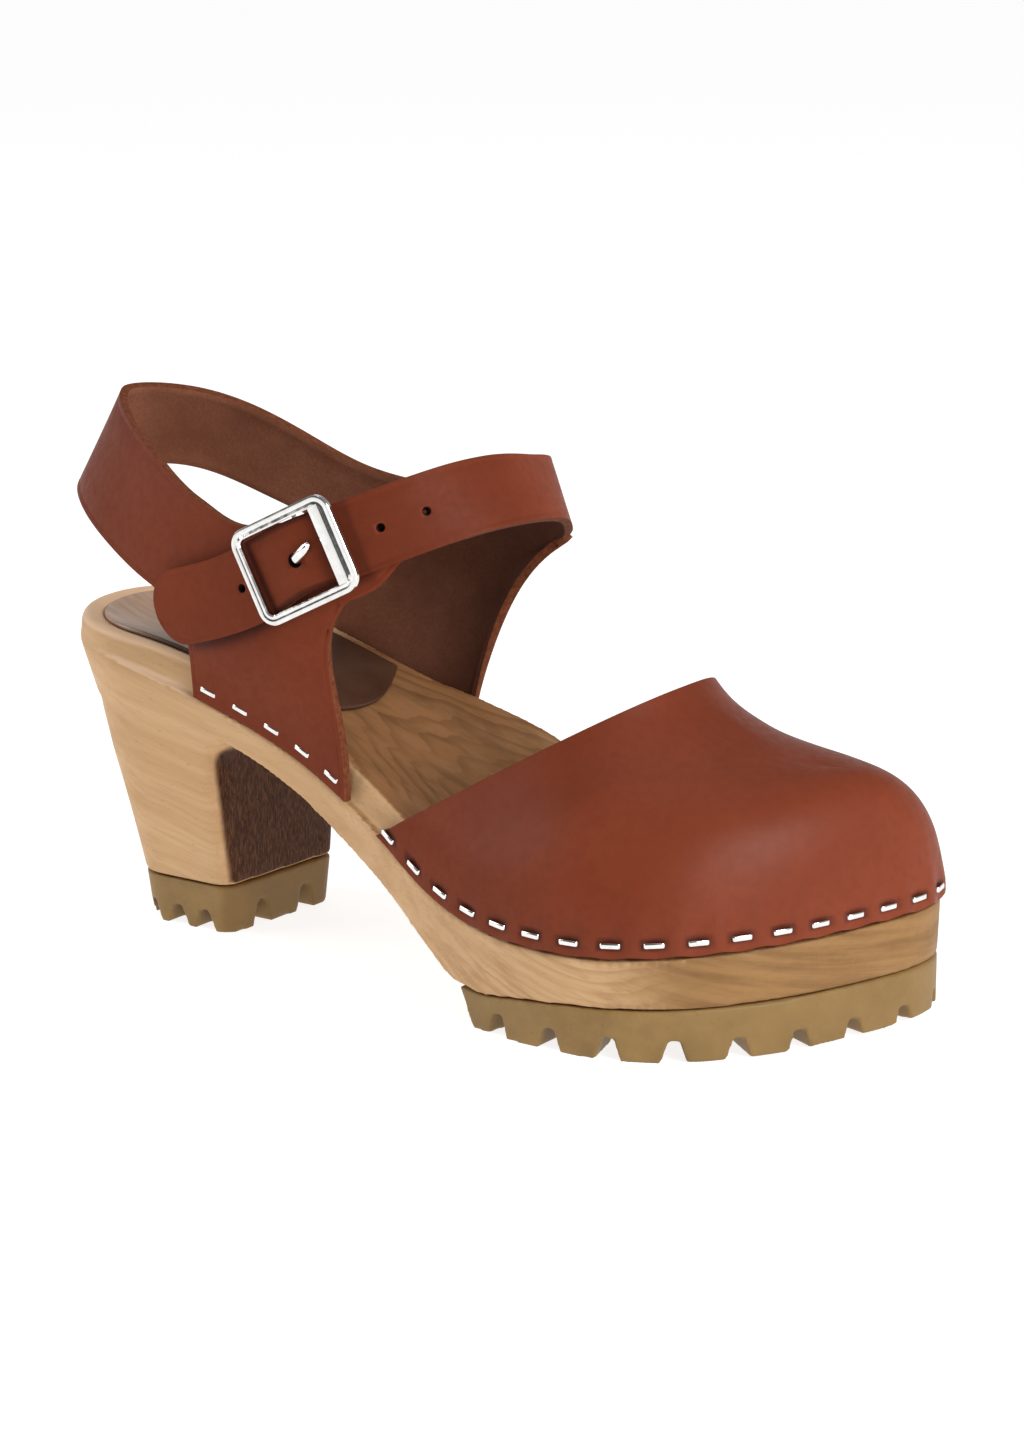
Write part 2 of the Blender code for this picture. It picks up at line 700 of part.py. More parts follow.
def strap_lengths():
    """Return where the strap's columns stand, closer together at its rounded tip."""
    rows = [i / STRAP_COLUMNS_PER_ROW for i in range((len(STRAP) - 1) * STRAP_COLUMNS_PER_ROW)]
    lengths = [strap_length_at(row) for row in rows]
    start = strap_knots[-1] - STRAP_TIP_LENGTH
    lengths = [length for length in lengths if length < start - 1.0]
    lengths += [start + STRAP_TIP_LENGTH * math.sin(0.5 * math.pi * i / 6.0) for i in range(7)]
    return lengths


def quarter_base(side, x):
    """Return a point on the ledge in the middle of the quarter's thickness."""
    plan = edge(angle_at(x), side, 0.5 * LEATHER - LEATHER_PROUD)
    return np.array([plan[0], plan[1], profile["ledge"](x) + LEDGE_GAP])


def quarter_point(top, down, base, share, flare, pinch):
    """Return a point of a quarter, share 0 on the strap and 1 on the ledge."""
    drop = top[2] - base[2]
    rise = (3.0 - 2.0 * share) * share * share
    start = drop * share * (1.0 - share) ** 2
    end = drop * share * share * (1.0 - share)
    point = top + (base - top) * rise + down * start
    point[2] += end
    point[0] = base[0] + (top[0] - base[0]) * (1.0 - share) ** flare
    point[0] += pinch * WAIST_SCALE * share * (1.0 - share) ** 3
    return point


def make_ankle_straps():
    """Make the strap and both quarters as one sheet of leather with real thickness."""
    lengths = strap_lengths()
    points = []
    for length in lengths:
        middle, along, face, up = strap_frame(length)
        half = strap_half_width(length)
        points += [middle - up * half, middle, middle + up * half]
    faces = sheet_faces(len(lengths), 3)
    rows_down = 8
    for side, first_row, last_row, base_first_x, base_last_x, flare, waist in QUARTERS:
        first = strap_length_at(first_row) - 0.01
        last = strap_length_at(last_row) + 0.01
        chosen = [i for i, length in enumerate(lengths) if first <= length <= last]
        ids = []
        for n, i in enumerate(chosen):
            share_along = n / (len(chosen) - 1.0)
            base = quarter_base(side, base_first_x + (base_last_x - base_first_x) * share_along)
            pinch = waist * (2.0 * share_along - 1.0) * (1.0 if base_first_x > base_last_x else -1.0)
            top = np.array(points[3 * i])
            down = -strap_frame(lengths[i])[3]
            line = [3 * i]
            for r in range(1, rows_down + 1):
                line.append(len(points))
                points.append(quarter_point(top, down, base, r / rows_down, flare, pinch))
            ids.append(line)
        for before, after in zip(ids, ids[1:]):
            for r in range(rows_down):
                faces.append((before[r], after[r], after[r + 1], before[r + 1]))
    straps = add_object("ankle_straps", points, faces, closed=False)
    thicken(straps, LEATHER, 0.0)

    buckle_length = strap_knots[BUCKLE_ROW]
    holes = []
    for step in HOLE_PLACES:
        reach = THROUGH_BOTH if step == 0.0 else THROUGH_ONE
        radius = STUD_HOLE_RADIUS if step == 0.0 else HOLE_RADIUS
        middle, along, face, up = strap_frame(buckle_length + step)
        loops = []
        for depth in (-reach, RUN_OUT):
            loops.append([
                tuple(middle + face * depth + radius * (
                    along * math.cos(math.pi * i / 6.0) + up * math.sin(math.pi * i / 6.0)))
                for i in range(12)])
        holes.append(prism(*loops))
    combine(straps, merge_prisms("strap_hole_tool", holes), "DIFFERENCE")

    middle, along, face, up = strap_frame(buckle_length)
    loops = []
    for depth in (-THROUGH_BOTH, RUN_OUT):
        corners = []
        for end, height in ((-1, BAR_SLOT_LOW), (1, BAR_SLOT_LOW), (1, BAR_SLOT_HIGH), (-1, BAR_SLOT_HIGH)):
            reach = along * end * BAR_SLOT_HALF_LENGTH
            corners.append(tuple(middle + reach + up * height + face * depth))
        loops.append(corners)
    combine(straps, merge_prisms("bar_slot_tool", [prism(*loops)]), "DIFFERENCE")
    return straps


def make_heel_sock():
    """Make the thin pad on the heel seat, on the footbed's own surface."""
    rows = 14
    columns = 7
    points = []
    for r in range(rows + 1):
        line = []
        for side in (-1, 1):
            half = []
            for c in range(columns + 1):
                share = c / columns
                bulge = math.sin(0.5 * math.pi * share)
                front = angle_at(SOCK_SIDE_X + (SOCK_MIDDLE_X - SOCK_SIDE_X) * bulge)
                inner = SOCK_INSET + (1.0 - SOCK_INSET) * share
                half.append(footbed(front * r / rows, side, inner, GAP))
            line += half if side < 0 else half[-2::-1]
        points += line
    faces = [face[::-1] for face in sheet_faces(rows + 1, 2 * columns + 1)]
    sock = add_object("heel_sock", points, faces, closed=False)
    thicken(sock, SOCK_THICKNESS, 1.0)
    return sock


def tube(name, sections):
    """Make a solid rod from the sections along it."""
    around = len(sections[0])
    points = [tuple(point) for section in sections for point in section]
    faces = ring_faces(len(sections), around)
    faces.append(tuple(range(around)))
    faces.append(tuple(range((len(sections) - 1) * around, len(sections) * around)))
    return add_object(name, points, faces)


def make_buckle():
    """Make the frame, the bar behind both straps and the stud through their holes."""
    middle, along, face, up = strap_frame(strap_knots[BUCKLE_ROW])
    lift = 0.5 * LEATHER + GAP + 0.5 * BUCKLE_WIRE_THICKNESS

    def local(a, c, o):
        return middle + along * a + up * c + face * o

    points = []
    stops = 0
    for quadrant in range(4):
        for i in range(4):
            turn = 0.5 * math.pi * (quadrant + i / 3.0)
            sign_a = 1.0 if quadrant in (0, 3) else -1.0
            sign_c = 1.0 if quadrant in (0, 1) else -1.0
            centre_a = sign_a * (BUCKLE_HALF_LENGTH - BUCKLE_CORNER)
            centre_c = sign_c * (BUCKLE_HALF_HEIGHT - BUCKLE_CORNER)
            stops += 1
            for k in range(8):
                roll = 2.0 * math.pi * (k + 0.5) / 8.0
                reach = BUCKLE_CORNER + OCTAGON_REACH * BUCKLE_WIRE_WIDTH * math.cos(roll)
                points.append(local(centre_a + reach * math.cos(turn), centre_c + reach * math.sin(turn),
                                    lift + OCTAGON_REACH * BUCKLE_WIRE_THICKNESS * math.sin(roll)))
    faces = ring_faces(stops, 8)
    for k in range(8):
        j = (k + 1) % 8
        faces.append(((stops - 1) * 8 + k, (stops - 1) * 8 + j, j, k))
    buckle = add_object("buckle", [tuple(point) for point in points], faces)

    behind = strap_line(strap_knots[UNDER_BUCKLE_ROW])[0]
    depth = float(np.dot(behind - middle, face)) - 0.5 * LEATHER - 2.0 * GAP - BUCKLE_BAR_RADIUS
    stops_c = (BUCKLE_HALF_HEIGHT, BUCKLE_HALF_HEIGHT, BUCKLE_HALF_HEIGHT - 1.0,
               1.0 - BUCKLE_HALF_HEIGHT, -BUCKLE_HALF_HEIGHT, -BUCKLE_HALF_HEIGHT)
    stops_o = (lift, depth + 1.0, depth, depth, depth + 1.0, lift)
    path = [local(0.0, c, o) for c, o in zip(stops_c, stops_o)]
    sections = []
    for i, stop in enumerate(path):
        heading = path[min(i + 1, len(path) - 1)] - path[max(i - 1, 0)]
        side = np.cross(heading / np.linalg.norm(heading), along)
        section = []
        for k in range(8):
            roll = 2.0 * math.pi * k / 8.0
            section.append(stop + BUCKLE_BAR_RADIUS * (along * math.cos(roll) + side * math.sin(roll)))
        sections.append(section)
    combine(buckle, tube("buckle_bar_tool", sections), "UNION")

    sections = []
    for o in (depth, depth + STUD_LENGTH - 0.8, depth + STUD_LENGTH):
        radius = STUD_RADIUS if o < depth + STUD_LENGTH - 0.1 else 0.6 * STUD_RADIUS
        sections.append([
            local(radius * math.cos(math.pi * k / 5.0), radius * math.sin(math.pi * k / 5.0), o)
            for k in range(10)])
    combine(buckle, tube("buckle_stud_tool", sections), "UNION")
    return buckle


def staple(name, angle, side, clearance):
    """Make one staple's crown, flat against the leather."""
    x = edge(angle, side)[0]
    base = edge(angle, side, -LEATHER_PROUD - clearance)
    away = outward(angle, side)
    here = profile["ledge"](x)
    ahead = np.array([-away[1], away[0]]) * side
    step = edge(angle, side) + ahead * 2.0
    slope = (profile["ledge"](step[0]) - here) / 2.0
    along = np.array([ahead[0], ahead[1], slope])
    along = along / np.linalg.norm(along)
    face = np.array([away[0], away[1], 0.0])
    up = np.cross(face, along)
    up = up if up[2] > 0.0 else -up
    middle = np.array([base[0], base[1], here + GAP + STAPLE_ABOVE_LEDGE])
    loops = []
    for depth, shrink in ((0.0, 1.0), (0.6 * STAPLE_THICKNESS, 1.0), (STAPLE_THICKNESS, 0.78)):
        half_l = 0.5 * STAPLE_LENGTH * (0.5 + 0.5 * shrink)
        half_h = 0.5 * STAPLE_HEIGHT * shrink
        loops.append([tuple(middle + face * depth + along * a * half_l + up * c * half_h)
                      for a, c in ((-1.0, -1.0), (1.0, -1.0), (1.0, 1.0), (-1.0, 1.0))])
    points = [point for loop in loops for point in loop]
    faces = ring_faces(3, 4)
    faces += [(0, 1, 2, 3), (8, 9, 10, 11)]
    return add_object(name, points, faces)


def vamp_staple_stations():
    """Return where the vamp's staples stand, stepped along the ledge."""
    first = angle_at(VAMP[0][0] + STAPLE_MARGIN)
    path = [(first + (math.pi - first) * i / 400.0, -1) for i in range(401)]
    last = angle_at(VAMP[0][1] + STAPLE_MARGIN)
    path += [(math.pi + (last - math.pi) * i / 400.0, 1) for i in range(1, 401)]
    stations = [path[0]]
    walked = 0.0
    for before, after in zip(path, path[1:]):
        walked += np.linalg.norm(edge(*after) - edge(*before))
        if walked >= VAMP_STAPLE_PITCH:
            stations.append(after)
            walked -= VAMP_STAPLE_PITCH
    return stations


def make_staples():
    """Make every staple along the vamp and along both quarters."""
    staples = []
    for n, (angle, side) in enumerate(vamp_staple_stations(), start=1):
        staples.append(staple("vamp_staple_%02d" % n, angle, side, VAMP_STAPLE_CLEARANCE))
    n = 0
    for side, first_row, last_row, base_first_x, base_last_x, flare, waist in QUARTERS:
        low = min(base_first_x, base_last_x) + STAPLE_MARGIN
        high = max(base_first_x, base_last_x) - STAPLE_MARGIN
        for i in range(QUARTER_STAPLES):
            n += 1
            angle = angle_at(low + (high - low) * i / (QUARTER_STAPLES - 1.0))
            staples.append(staple("quarter_staple_%02d" % n, angle, side, QUARTER_STAPLE_CLEARANCE))
    return staples


def finish(thing, colour, roughness, metallic=0.0):
    """Give an object its own material."""
    thing.data.materials.append(principled(thing.name + "_finish", colour, roughness, metallic))


finish(make_wood_sole(), (0.46, 0.29, 0.14), 0.55)
finish(make_forefoot_outsole(), (0.32, 0.20, 0.08), 0.6)
finish(make_heel_top_piece(), (0.32, 0.20, 0.08), 0.6)
finish(make_vamp(), (0.20, 0.035, 0.018), 0.42)
finish(make_ankle_straps(), (0.20, 0.035, 0.018), 0.45)
finish(make_heel_sock(), (0.06, 0.025, 0.014), 0.6)
finish(make_buckle(), (0.75, 0.74, 0.72), 0.18, 1.0)
for wire in make_staples():
    finish(wire, (0.75, 0.74, 0.72), 0.25, 1.0)
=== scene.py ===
"""Looks of the clog sandal: carved wood, gum rubber, stapled leather, heel sock and buckle."""
import math
from collections import namedtuple

import bmesh
import bpy
import numpy as np
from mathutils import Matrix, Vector


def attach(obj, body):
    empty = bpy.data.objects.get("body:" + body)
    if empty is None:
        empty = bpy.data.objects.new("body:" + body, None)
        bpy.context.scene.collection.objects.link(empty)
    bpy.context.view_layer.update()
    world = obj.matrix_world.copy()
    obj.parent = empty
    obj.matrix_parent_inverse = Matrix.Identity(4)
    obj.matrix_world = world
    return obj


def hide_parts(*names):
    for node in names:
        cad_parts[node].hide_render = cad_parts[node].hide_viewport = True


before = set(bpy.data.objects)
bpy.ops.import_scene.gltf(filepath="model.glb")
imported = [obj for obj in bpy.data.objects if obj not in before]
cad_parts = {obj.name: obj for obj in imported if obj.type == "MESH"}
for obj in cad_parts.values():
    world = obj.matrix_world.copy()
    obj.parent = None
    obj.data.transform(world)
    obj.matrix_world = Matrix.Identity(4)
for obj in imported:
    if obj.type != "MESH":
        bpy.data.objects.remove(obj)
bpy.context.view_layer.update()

# Lengths are millimetres until place() turns them into metres. x runs from the back of the
# heel seat to the toe, y from the middle of the heel seat to the inner side of the foot and
# z up from the floor.
MM = 0.001
MERGE_DISTANCE = 0.002
SLIVER_LENGTH = 0.001
BOX_MIDDLE_X = 117.4
BOX_MIDDLE_Y = -1.5

SOLE_LENGTH = 238.0
GAP = 0.3
LEDGE_GAP = 0.5
LEATHER = 2.2
LEATHER_PROUD = 0.4
CUT_EDGE_ROUND = 0.45
CUT_EDGE_ANGLE = 55.0
VAMP_UPRIGHT = 6.0
VAMP_CLING_HEIGHT = 16.0
VAMP_CROWDING = 1.5
REBATE_TAPER = 1.45
HOLLOW_POWER = 2.2
SPINE_BACK = 30.0
SPINE_FRONT = 208.0
WOOD_GRID = 0.85
WOOD_EASING = 5
RUBBER_GRID = 0.62
RUBBER_EASING = 2
UNDERSIDE_SHARES = (1.0, 0.8, 0.6, 0.4, 0.2)
SIDE_STEPS = 5
RIM_STEPS = 6
BED_STEPS = 12

RUBBER_BACK_TOP = 145.0
RUBBER_BACK_FLOOR = 149.5
TOE_SPRING = 1.5
TOE_SPRING_START = 205.0
LUG_DEPTH = 5.5
NOTCH_WIDTH_FLOOR = 7.0
NOTCH_WIDTH_TOP = 2.6
NOTCH_PITCH = 16.0
FIRST_NOTCH_X = 158.4
LAST_NOTCH_X = 162.0
LUG_LENGTH = 13.0
GROOVE_WIDTH = 4.5
LUG_NOTCH_LENGTH = LUG_LENGTH + 1.0
GROOVE_START_X = RUBBER_BACK_TOP - 12.0
GROOVE_DEPTH = LUG_DEPTH - 0.4
CROSS_GROOVES = (168.0, 184.0, 200.0)
CROSS_GROOVE_INSET = LUG_LENGTH + 1.5
CROSS_GROOVE_DEPTH = LUG_DEPTH - 0.8
TOOL_START_Z = -1.0
TOOL_START_REACH = -3.0

SEAT_MIDDLE_X = 33.0
HEEL_CORNER = 4.5
HEEL_BREAST_SKEW = 0.07
HEEL_BACK_STEPS = 48
HEEL_CORNER_STEPS = 8
HEEL_LEVELS_PER_ROW = 8

SOCK_THICKNESS = 1.2
SOCK_INSET = 0.12
SOCK_SIDE_X = 78.0
SOCK_MIDDLE_X = 85.0
SOCK_EDGE_ROUND = 0.35

STAPLE_LENGTH = 5.2
STAPLE_HEIGHT = 1.35
STAPLE_THICKNESS = 0.7
STAPLE_LEG = 1.8
STAPLE_SQUARENESS = 3.0
STAPLE_ABOVE_LEDGE = 3.6
VAMP_STAPLE_CLEARANCE = 0.15
QUARTER_STAPLE_CLEARANCE = -0.2
VAMP_STAPLE_PITCH = 10.4
QUARTER_STAPLES = 5
STAPLE_MARGIN = 4.8
STAPLE_SLOPE_STEP = 2.0
# The bend at a staple's ends: share of half its length, and height from its crown.
STAPLE_BEND = ((1.0, -0.3), (0.96, -0.06), (0.88, 0.0))
# The leather swells and waves between its staples, least at the sides and most at the toe, and is
# pressed in under them.
PUCKER = 0.9
PUCKER_LEAST = 0.3
PUCKER_MIDDLE = 2.0
PUCKER_HEIGHT = 6.5
EDGE_WAVE = 0.8
WAVE_LEAST = 0.2
PRESS = 0.4
PRESS_REACH = 1.3
LEDGE_RUN_START = 100.0
# How dark the leather is painted in places as shade, and where each of those painted shades begins to fade
# and ends.
STAPLE_SHADE = 0.6
STAPLE_SHADE_ALONG = (2.7, 3.8)
STAPLE_SHADE_ACROSS = (0.8, 1.9)
THROAT_SHADE = 0.13
THROAT_SHADE_ROWS = (1.5, 5.0)
THROAT_SHADE_SHARES = (0.30, 0.65)

BUCKLE_HALF_LENGTH = 14.0
BUCKLE_HALF_HEIGHT = 11.4
BUCKLE_CORNER = 3.0
BUCKLE_WIRE_WIDTH = 2.6
BUCKLE_WIRE_THICKNESS = 1.8
BUCKLE_SHARP_ANGLE = 28.0
# The wire's section, as shares of half its thickness and half its width, with a ridge along its front.
WIRE_SECTION = (
    (0.62, 1.0), (1.0, 0.72), (0.80, 0.18), (1.0, -0.30), (0.86, -0.86),
    (0.62, -1.0), (-0.62, -1.0), (-1.0, -0.7), (-1.0, 0.7), (-0.62, 1.0),
)
BAR_RADIUS = 0.65
BAR_WIDE = 1.04
BAR_NARROW = 0.95
BAR_BEND = 1.0
PLATE_WIDTH = 3.8
PLATE_THICKNESS = 1.7
PLATE_SQUARENESS = 4.5
PLATE_OVERLAP = 0.4
PLATE_LIFT = 0.1
PLATE_END = 0.47
STUD_RADIUS = 1.5
# The prong outside the straps: steps along, up and out from the buckle's middle, and share of the radius.
PRONG = (
    (0.0, 0.0, 0.9, 1.0),
    (-1.2, 0.3, 2.6, 1.0),
    (-3.2, 0.9, 3.4, 0.97),
    (-5.4, 1.5, 3.7, 0.95),
    (-6.3, 1.8, 3.8, 0.72),
    (-6.7, 1.9, 3.8, 0.25),
)

# Holes along the strap from the buckle's middle, where the stud is. A punched hole's taper is its
# share of the radius at the strap's middle and what each millimetre outwards adds.
HOLE_PLACES = (-34.5, -23.0, -11.5, 0.0, 19.0)
STUD_HOLE_RADIUS = 1.9
HOLE_RADIUS = 1.15
HOLE_TAPER = (0.7, 0.27)
HOLE_FRONT = 4.0
HOLE_MATERIAL = 3
THROUGH_ONE = 2.2
THROUGH_BOTH = 9.0

STRAP_BULGE = 1.2
STRAP_BULGE_HALF = BUCKLE_HALF_LENGTH - 2.0
STRAP_SQUEEZE = 1.1
EDGE_LINE = (0.9, 1.4, 1.9)
EDGE_LINE_DEPTH = 0.2
# Painted shadow across the strap beside the buckle's frame: step from its middle, reach and share of the
# shade.
BUCKLE_SHADE = 0.85
BUCKLE_SHADE_LINES = ((12.2, 1.3, 1.0), (-9.0, 1.8, 0.7), (-16.2, 2.2, 0.6))
BUCKLE_SHADE_INSIDE = (12.0, 13.5)
BUCKLE_SHADE_REACH = 1.3
TIP_SHADE = 0.75
TIP_SHADE_REACH = 2.2
TIP_SHADE_START = 4.0
INSTEP_SHADE = 0.26
INSTEP_SHADE_ROWS = (16.0, 17.0, 19.2)

CAMERA_TARGET = (88.1, 61.2, 44.3)
CAMERA_DISTANCE = 1099.4
CAMERA_TURN = 55.34
CAMERA_RISE = 14.5
CAMERA_LENS = 101.43
OUTER_WALL = (-0.26, -0.97, 0.0)

# Outer edge of the wood, seen from above.
OUTLINE_COLUMNS = ("x", "lateral", "medial")
OUTLINE = (
    (0.0, 0.0, 0.0),
    (3.0, -14.4, 13.5),
    (8.0, -22.2, 20.9),
    (20.0, -30.5, 29.0),
    (33.0, -32.5, 31.5),
    (50.0, -32.0, 31.0),
    (75.0, -31.2, 30.2),
    (100.0, -33.2, 33.0),
    (125.0, -40.2, 38.6),
    (150.0, -47.6, 43.4),
    (170.0, -50.7, 46.0),
    (187.0, -49.6, 47.6),
    (206.0, -41.0, 47.4),
    (216.0, -31.0, 45.8),
    (226.0, -15.5, 42.0),
    (233.0, 1.5, 36.4),
    (238.0, 22.0, 22.0),
)

# Heights along the sole: the rebate's ledge, the rim above it, the hollow of the footbed below
# the rim, the underside of the wood, how far its sides lean in for each millimetre of drop, the
# rebate's depth, the rounding of the rim and how far the inner rim rises beside the arch.
PROFILE_COLUMNS = ("x", "ledge", "rim", "hollow", "under", "lean", "rebate", "round", "arch")
PROFILE = (
    (0.0, 75.2, 6.3, 4.0, 60.0, 0.30, 0.2, 2.6, 0.0),
    (20.0, 73.2, 6.7, 4.6, 59.5, 0.30, 0.8, 2.6, 0.0),
    (40.0, 69.4, 7.8, 4.6, 58.0, 0.30, 1.8, 2.0, 0.0),
    (52.0, 66.3, 8.0, 4.2, 56.2, 0.28, 2.2, 1.5, 0.0),
    (60.0, 63.9, 8.2, 3.8, 54.8, 0.24, 2.2, 1.3, 0.0),
    (70.0, 60.6, 8.5, 3.2, 51.8, 0.18, 2.2, 1.3, 0.0),
    (85.0, 55.0, 8.5, 2.4, 45.0, 0.14, 2.2, 1.3, 0.6),
    (100.0, 48.0, 8.5, 2.0, 36.0, 0.13, 2.2, 1.3, 3.4),
    (118.0, 39.4, 8.5, 2.0, 26.0, 0.12, 2.2, 1.3, 5.0),
    (134.0, 31.4, 8.5, 2.4, 15.0, 0.12, 2.2, 1.3, 3.4),
    (142.0, 28.6, 8.5, 2.6, 10.2, 0.12, 2.2, 1.3, 2.0),
    (152.0, 26.4, 8.5, 2.8, 9.2, 0.12, 2.2, 1.3, 0.8),
    (165.0, 25.1, 8.5, 3.0, 10.8, 0.12, 2.2, 1.3, 0.0),
    (180.0, 24.8, 8.5, 3.0, 12.2, 0.12, 2.2, 1.3, 0.0),
    (205.0, 26.2, 8.5, 2.6, 13.2, 0.09, 2.2, 1.3, 0.0),
    (238.0, 28.6, 8.5, 1.6, 14.5, 0.03, 2.2, 1.3, 0.0),
)

# Level sections of the block heel and of its rubber: z, back, breast, half_width
HEEL = (
    (13.0, 19.8, 57.0, 21.8),
    (24.0, 15.8, 56.7, 23.2),
    (36.0, 11.4, 56.5, 24.9),
    (46.0, 7.9, 56.7, 26.6),
    (50.0, 6.9, 57.6, 27.2),
    (53.0, 6.1, 60.2, 27.8),
    (55.5, 5.5, 65.0, 28.2),
    (60.2, 4.5, 68.0, 28.5),
    (66.0, 7.0, 50.0, 26.0),
)
HEEL_RUBBER = (
    (0.0, 22.4, 56.4, 20.4),
    (12.7, 20.0, 57.0, 21.7),
)
HEEL_SIDE_NOTCHES = (29.0, 38.0, 47.0)
HEEL_FRONT_NOTCHES = (-7.5, 9.5)
HEEL_NOTCH_LENGTH = 7.0
HEEL_FRONT_NOTCH_DEPTH = LUG_DEPTH + 1.5

# Sections of the vamp from the throat to the toe: where the section leaves the ledge on each
# side, its top on the spine, its fullness and how far it fans out round the toe.
VAMP_COLUMNS = ("lateral_x", "medial_x", "top_x", "top_y", "top_z", "fullness", "fan")
VAMP = (
    (116.0, 127.0, 180.0, 5.5, 80.0, 2.60, 0.0),
    (138.0, 146.0, 186.8, 5.5, 74.9, 2.60, 0.2),
    (158.0, 163.0, 193.6, 6.0, 71.0, 2.60, 0.4),
    (176.0, 179.0, 200.0, 6.5, 68.0, 2.55, 0.6),
    (192.0, 194.0, 205.0, 7.0, 66.3, 2.50, 0.8),
    (206.0, 208.0, 209.0, 7.5, 65.2, 2.45, 1.0),
    (219.0, 221.0, 212.0, 8.0, 64.4, 2.40, 1.0),
    (230.0, 231.5, 214.0, 9.0, 63.8, 2.40, 1.0),
    (238.0, 238.0, 216.0, 10.0, 63.4, 2.40, 1.0),
)

# The long strap, along its middle: from its hidden end under the buckle back along the outer
# side, round the heel, forward along the inner side, over the instep and back through the
# buckle to its tip. Lean is how far its top edge tips towards the ankle, in degrees.
STRAP_COLUMNS = ("x", "y", "z", "width", "lean")
STRAP = (
    (120.8, -26.2, 115.8, 4.2, 12.0),
    (115.8, -30.3, 113.2, 10.4, 9.0),
    (109.0, -34.0, 110.4, 19.0, 6.0),
    (95.0, -37.4, 106.6, 22.5, 2.0),
    (77.0, -38.0, 103.6, 21.5, 2.0),
    (56.0, -36.0, 105.8, 27.0, 6.0),
    (33.0, -28.5, 114.4, 28.4, 15.0),
    (13.0, -16.0, 121.5, 27.6, 24.0),
    (2.6, 0.0, 125.2, 26.5, 27.0),
    (13.0, 16.0, 125.0, 24.0, 24.0),
    (33.0, 28.5, 116.8, 22.0, 14.0),
    (56.0, 35.6, 106.6, 19.6, 6.0),
    (77.0, 37.8, 103.0, 20.0, 2.0),
    (95.0, 38.4, 103.6, 19.6, 3.0),
    (112.0, 36.4, 108.4, 18.6, 9.0),
    (124.6, 28.8, 116.5, 18.5, 16.0),
    (130.8, 12.0, 121.9, 17.7, 32.0),
    (130.4, -8.0, 124.0, 18.6, 31.0),
    (122.6, -26.6, 121.2, 18.8, 15.0),
    (110.0, -36.3, 115.5, 18.9, 6.0),
    (95.0, -40.2, 108.6, 19.5, 2.0),
    (77.0, -41.0, 98.8, 19.5, 0.0),
    (49.0, -39.2, 89.6, 19.5, -5.0),
)
STRAP_STEP = 1.5
STRAP_LEAST_STEP = 0.3
STRAP_INNER_SHARES = (-0.6, -0.2, 0.2, 0.6)
STRAP_TIP_LENGTH = 9.0
STRAP_TIP_STEPS = 14
STRAP_TIP_GAP = 0.5
STRAP_TIP_BLUNT = 0.985
BUCKLE_ROW = 20
UNDER_BUCKLE_ROW = 3

# The quarters hang from the strap's lower edge between two of its rows and stand on the ledge.
# A waist is the most that an end is drawn in, and WAIST_SCALE makes its curve's peak one.
WAIST_SCALE = 9.48
QUARTER_STEPS = 28
Quarter = namedtuple(
    "Quarter", "side first_row last_row base_first_x base_last_x flare first_waist last_waist")
QUARTERS = (
    Quarter(-1, 2.4, 5.2, 103.5, 54.0, 3.0, 4.5, 3.2),
    Quarter(1, 10.8, 14.5, 52.0, 96.0, 1.6, 2.6, 2.6),
)


def column(table, names, name):
    """Return one named column of a table."""
    return np.array([row[names.index(name)] for row in table], float)


def smooth(xs, ys):
    """Return a curve through the points that rises and falls only where they do."""
    steps = np.diff(xs)
    slopes = np.diff(ys) / steps
    tangents = np.concatenate(([slopes[0]], np.zeros(len(xs) - 2), [slopes[-1]]))
    for i in range(1, len(xs) - 1):
        if slopes[i - 1] * slopes[i] > 0.0:
            before = 2.0 * steps[i] + steps[i - 1]
            after = steps[i] + 2.0 * steps[i - 1]
            tangents[i] = (before + after) / (before / slopes[i - 1] + after / slopes[i])

    def at(x):
        i = int(np.clip(np.searchsorted(xs, x) - 1, 0, len(xs) - 2))
        t = (min(max(x, xs[0]), xs[-1]) - xs[i]) / steps[i]
        rise = (3.0 - 2.0 * t) * t * t
        bend = steps[i] * t * (1.0 - t)
        return ys[i] * (1.0 - rise) + ys[i + 1] * rise + bend * (
            tangents[i] * (1.0 - t) - tangents[i + 1] * t)

    return at


def spline(ts, values):
    """Return a natural cubic spline and its derivative through rows of values."""
    ts = np.asarray(ts, float)
    values = np.asarray(values, float)
    steps = np.diff(ts)
    count = len(ts)
    matrix = np.eye(count)
    target = np.zeros_like(values)
    for i in range(1, count - 1):
        matrix[i, i - 1] = steps[i - 1]
        matrix[i, i] = 2.0 * (steps[i - 1] + steps[i])
        matrix[i, i + 1] = steps[i]
        rise_after = (values[i + 1] - values[i]) / steps[i]
        rise_before = (values[i] - values[i - 1]) / steps[i - 1]
        target[i] = 6.0 * (rise_after - rise_before)
    bends = np.linalg.solve(matrix, target)

    def at(t):
        i = int(np.clip(np.searchsorted(ts, t) - 1, 0, count - 2))
        h = steps[i]
        a = (ts[i + 1] - t) / h
        b = (t - ts[i]) / h
        value = a * values[i] + b * values[i + 1]
        value = value + ((a ** 3 - a) * bends[i] + (b ** 3 - b) * bends[i + 1]) * h * h / 6.0
        slope = (values[i + 1] - values[i]) / h
        slope = slope + ((3 * b * b - 1) * bends[i + 1] - (3 * a * a - 1) * bends[i]) * h / 6.0
        return value, slope

    return at


def place(point):
    """Turn a point in millimetres into metres in the frame."""
    return ((point[0] - BOX_MIDDLE_X) * MM, (point[1] - BOX_MIDDLE_Y) * MM, point[2] * MM)


